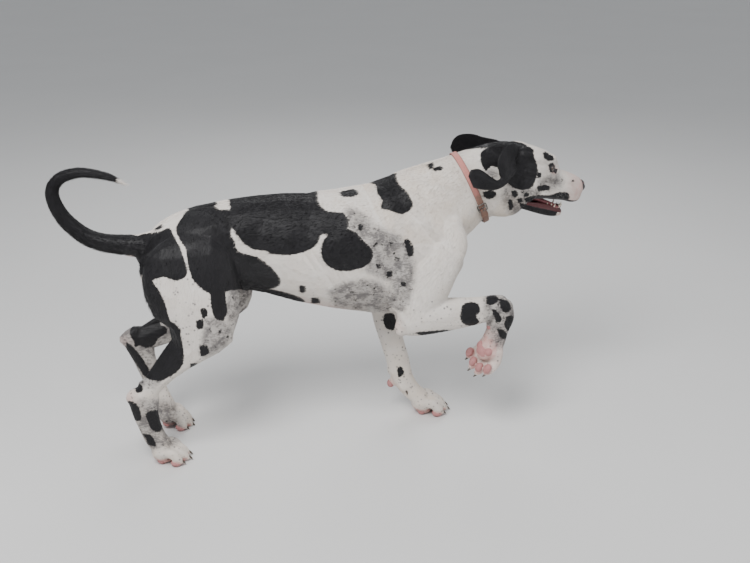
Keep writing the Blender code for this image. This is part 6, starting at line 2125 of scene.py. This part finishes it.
def unwrap(obj):
    """A coarse unwrapped copy of the skin: its tree of faces, their corners, and the corners' UVs."""
    copy = obj.copy()
    copy.data = obj.data.copy()
    bpy.context.scene.collection.objects.link(copy)
    thin_out(copy, 9000)
    bpy.context.view_layer.objects.active = copy
    for other in bpy.context.selected_objects:
        other.select_set(False)
    copy.select_set(True)
    bpy.ops.object.mode_set(mode="EDIT")
    bpy.ops.mesh.select_all(action="SELECT")
    bpy.ops.uv.smart_project(angle_limit=math.radians(66), island_margin=0.003)
    bpy.ops.object.mode_set(mode="OBJECT")
    mesh = copy.data
    mesh.calc_loop_triangles()
    corners = np.array([t.vertices[:] for t in mesh.loop_triangles])
    loops = np.array([t.loops[:] for t in mesh.loop_triangles])
    places = points_of(copy)
    uvs = np.empty(len(mesh.loops) * 2)
    mesh.uv_layers.active.data.foreach_get("uv", uvs)
    uvs = uvs.reshape(-1, 2)[loops]
    tree = BVHTree.FromPolygons(places.tolist(), corners.tolist())
    bpy.data.objects.remove(copy, do_unlink=True)
    bpy.data.meshes.remove(mesh)
    return tree, places[corners], uvs


def unwrapped_at(places, unwrapped):
    """Where places on the skin lie on its unwrap."""
    tree, corners, uvs = unwrapped
    found = [tree.find_nearest(p) for p in places.tolist()]
    face = np.array([f[2] for f in found])
    spot = np.array([f[0][:] for f in found])
    a, b, c = corners[face, 0], corners[face, 1], corners[face, 2]
    ab, ac, ap = b - a, c - a, spot - a
    d00, d01, d11 = (ab * ab).sum(1), (ab * ac).sum(1), (ac * ac).sum(1)
    d20, d21 = (ap * ab).sum(1), (ap * ac).sum(1)
    size = np.maximum(d00 * d11 - d01 * d01, 1e-18)
    v = np.clip((d11 * d20 - d01 * d21) / size, 0, 1)
    w = np.clip((d00 * d21 - d01 * d20) / size, 0, 1)
    u = np.clip(1 - v - w, 0, 1)
    return (uvs[face] * np.stack((u, v, w), 1)[:, :, None]).sum(1)


TUFT_FACES = np.array([(0, 3, 2), (1, 2, 3), (0, 1, 3), (0, 2, 1)])
TUFT_UV = np.array([(-0.5, -0.5), (0.5, -0.5), (0.0, -0.2), (0.0, 0.5)]) * PATCH


def tuft_piece(name, roots, normals, ways, sizes, values, unwrapped):
    """One mesh of thin tufts that lie along the coat, each with its root's markings and place on the unwrap."""
    length, lift, width = sizes
    sideways = np.cross(normals, ways)
    half = sideways * (width / 2)[:, None]
    deep = normals * 0.0003
    tip = ways * (length * np.cos(lift))[:, None] + normals * (length * np.sin(lift))[:, None]
    ridge = normals * (width * 0.3)[:, None] + ways * (length * 0.1)[:, None]
    corners = np.stack((roots - half - deep, roots + half - deep, roots + ridge, roots + tip), 1)
    count = len(roots)
    faces = (TUFT_FACES[None] + 4 * np.arange(count)[:, None, None]).reshape(-1, 3)
    mesh = bpy.data.meshes.new(name)
    mesh.vertices.add(4 * count)
    mesh.vertices.foreach_set("co", corners.reshape(-1))
    mesh.loops.add(faces.size)
    mesh.loops.foreach_set("vertex_index", faces.reshape(-1).astype(np.int32))
    mesh.polygons.add(len(faces))
    mesh.polygons.foreach_set("loop_start", np.arange(0, faces.size, 3, dtype=np.int32))
    mesh.update(calc_edges=True)
    obj = bpy.data.objects.new(name, mesh)
    bpy.context.scene.collection.objects.link(obj)
    for key, value in values.items():
        set_attribute(obj, key, np.repeat(value, 4))
    centre = unwrapped_at(roots, unwrapped)
    places = centre[:, None, :] + TUFT_UV[None]
    layer = mesh.uv_layers.new(name="OFBake")
    layer.data.foreach_set("uv", places.reshape(-1, 2)[faces.reshape(-1)].astype(np.float32).reshape(-1))
    return obj


def coat(skin, traits, labels, lie, material):
    """Thin tufts over the whole skin, in one piece for each part of the body."""
    draw = np.random.default_rng(11)
    points, normals = points_of(skin), normals_of(skin)
    skin.data.calc_loop_triangles()
    triangles = np.array([t.vertices[:] for t in skin.data.loop_triangles])
    crowd, length, lift, width = coat_growth(points, labels)
    clear = (traits["bare"] < 0.3) & (traits["wet"] < 0.3) & (points[:, 2] > 0.004)
    local = carried(points, head_matrix().inverted())
    along_neck = (points - np.array(COLLAR_AT)) @ np.array(COLLAR_FACING)
    strap = (np.abs(along_neck) < STRAP_WIDTH * 0.42) & (np.linalg.norm(points - np.array(COLLAR_AT),
                                                                        axis=1) < 0.14)
    clear &= ~strap & (np.linalg.norm((local - (0.121, 0, -0.026)) / (1, 1.2, 1.2), axis=1) > 0.0165)
    crowd = crowd * clear
    broad = np.array([label.split("_")[0] for label in labels])
    left = points[:, 1] > 0
    group = {
        "coat_trunk_right": (broad == "trunk") & ~left, "coat_trunk_left": (broad == "trunk") & left,
        "coat_neck": broad == "neck", "coat_head": np.isin(broad, ("head", "ear")),
        "coat_forelegs": broad == "fore", "coat_hindlegs": broad == "hind", "coat_tail": broad == "tail",
    }
    a, b, c = (points[triangles[:, i]] for i in range(3))
    area = np.linalg.norm(np.cross(b - a, c - a), axis=1) / 2
    unwrapped = unwrap(skin)
    pieces = []
    for name, count in COAT_PIECES.items():
        chance = area * (crowd * group[name])[triangles].min(axis=1)
        chosen = draw.choice(len(triangles), count, p=chance / chance.sum())
        u, v = draw.random(count), draw.random(count)
        fold = u + v > 1
        u, v = np.where(fold, 1 - u, u), np.where(fold, 1 - v, v)
        share = np.stack((1 - u - v, u, v), 1)
        at = triangles[chosen]

        def spread(values):
            picked = values[at]
            return (picked * (share[:, :, None] if picked.ndim == 3 else share)).sum(1)

        roots, up = spread(points), spread(normals)
        up /= np.linalg.norm(up, axis=1)[:, None]
        way = spread(lie) + draw.normal(0, 0.1, (count, 3))
        way -= up * (way * up).sum(1)[:, None]
        way /= np.linalg.norm(way, axis=1)[:, None]
        sizes = (spread(length) * draw.uniform(0.65, 1.15, count),
                 spread(lift) * draw.uniform(0.5, 1.5, count),
                 spread(width) * draw.uniform(0.75, 1.25, count))
        values = {key: spread(traits[key]) for key in ("black", "merle", "ticking", "pink", "warm")}
        obj = tuft_piece(name, roots, up, way, sizes, values, unwrapped)
        pieces.append(finish_piece(obj, name, material, smooth=False))
    return pieces


def studio():
    """A plain pale floor, soft light, and the camera at the picture's place."""
    scene = bpy.context.scene
    bm = bmesh.new()
    bmesh.ops.create_grid(bm, x_segments=2, y_segments=2, size=14)
    floor = mesh_object("floor", bm, scene.collection)
    floor.data.materials.append(floor_material())
    world = bpy.data.worlds.new("studio")
    world.use_nodes = True
    world.node_tree.nodes["Background"].inputs["Color"].default_value = (0.93, 0.96, 1.0, 1)
    world.node_tree.nodes["Background"].inputs["Strength"].default_value = 0.5
    scene.world = world
    for name, place, size, power in LIGHTS:
        light = bpy.data.lights.new(name, "AREA")
        light.shape = "DISK"
        light.size = size
        light.energy = power
        lamp = bpy.data.objects.new(name, light)
        lamp.location = place
        lamp.rotation_euler = (AIM - Vector(place)).to_track_quat("-Z", "Y").to_euler()
        scene.collection.objects.link(lamp)
    camera = bpy.data.cameras.new("camera")
    camera.lens = LENS
    camera.sensor_width = SENSOR
    eye = bpy.data.objects.new("camera", camera)
    eye.location = CAMERA_AT + SHIFT
    eye.rotation_euler = (math.radians(90) - CAMERA_DOWN, 0, CAMERA_YAW)
    scene.collection.objects.link(eye)
    scene.camera = eye


AIM = Vector((0, 0, 0.4))
LIGHTS = [
    ("key", (-1.1, -1.7, 2.9), 1.6, 126),
    ("fill", (2.3, -1.6, 1.4), 2.2, 20),
    ("back", (0.6, 2.2, 2.4), 2.0, 30),
]
FLESH_NODES = [
    "torso", "neck", "head", "lower_jaw", "ear_left", "ear_right", "tail_base", "tail_middle", "tail_tip",
    "foreleg_left_forearm", "foreleg_left_paw", "foreleg_right_forearm", "foreleg_right_paw",
    "hindleg_left_thigh", "hindleg_left_shin", "hindleg_left_paw",
    "hindleg_right_thigh", "hindleg_right_shin", "hindleg_right_paw",
]


def main():
    studio()
    body = body_skin()
    body_count = len(body.data.vertices)
    skin = joined(body, head_skin())
    points, normals = points_of(skin), normals_of(skin)
    on_head = np.arange(len(points)) >= body_count
    labels, lie = survey(points, on_head)
    traits = skin_traits(points, normals, labels, lie, on_head)
    traits["black"], traits["merle"] = markings(points, labels, on_head)
    for name, values in traits.items():
        set_attribute(skin, name, values)
    rows = strap_rows(skin, labels)
    coat(skin, traits, labels, lie, coat_material("coat_hair", False))
    finish_piece(skin, "skin", coat_material("coat_skin", True), replaces=FLESH_NODES)
    eye_finish = eye_material()
    for word, side in (("right", RIGHT), ("left", LEFT)):
        finish_piece(eyeball(side), f"eyeball_{word}", eye_finish, replaces=[f"eye_{word}"])
    rim = flesh_material("dark_rim", (0.01, 0.008, 0.009), (0.03, 0.022, 0.023), 0.28, 700, 0.0001)
    moist = flesh_material("moist_pink", (0.33, 0.13, 0.12), (0.5, 0.24, 0.22), 0.2, 800, 0.0001)
    finish_piece(lid_rims(), "lid_rims", rim)
    finish_piece(tear_corners(), "tear_corners", moist)
    finish_piece(nose(), "nose_leather", nose_material(), replaces=["nose"])
    tongue_finish = flesh_material("tongue_flesh", (0.3, 0.085, 0.095), (0.44, 0.17, 0.18), 0.28, 1500,
                                   0.0003)
    gum_finish = flesh_material("gum_flesh", (0.16, 0.05, 0.052), (0.34, 0.14, 0.14), 0.18, 500, 0.0001)
    finish_piece(tongue(), "tongue_flesh", tongue_finish, replaces=["tongue"])
    finish_piece(gums(), "gums", gum_finish, replaces=["lower_teeth"])
    enamel = flesh_material("tooth_enamel", (0.62, 0.52, 0.36), (0.8, 0.76, 0.66), 0.16, 300, 0.00005)
    finish_piece(teeth(), "teeth", enamel)
    finish_piece(claws(), "claws", claw_material())
    pad = flesh_material("pad_skin", (0.36, 0.14, 0.135), (0.54, 0.27, 0.26), 0.55, 900, 0.0005)
    finish_piece(paw_pads(), "paw_pads", pad)
    hair = flesh_material("whisker_hair", (0.42, 0.4, 0.38), (0.62, 0.6, 0.57), 0.35, 300, 0.00002)
    finish_piece(whiskers(), "whiskers", hair)
    leather = strap_material()
    finish_piece(collar_strap(rows), "collar_strap", leather, replaces=["collar"])
    finish_piece(strap_keeper(rows), "collar_keeper", leather, smooth=False)
    thread = flesh_material("waxed_thread", (0.3, 0.17, 0.13), (0.5, 0.33, 0.27), 0.6, 1500, 0.0001)
    finish_piece(strap_stitches(rows), "collar_stitches", thread)
    finish_piece(buckle(rows), "buckle_frame", metal_material(), replaces=["collar_buckle"])


main()
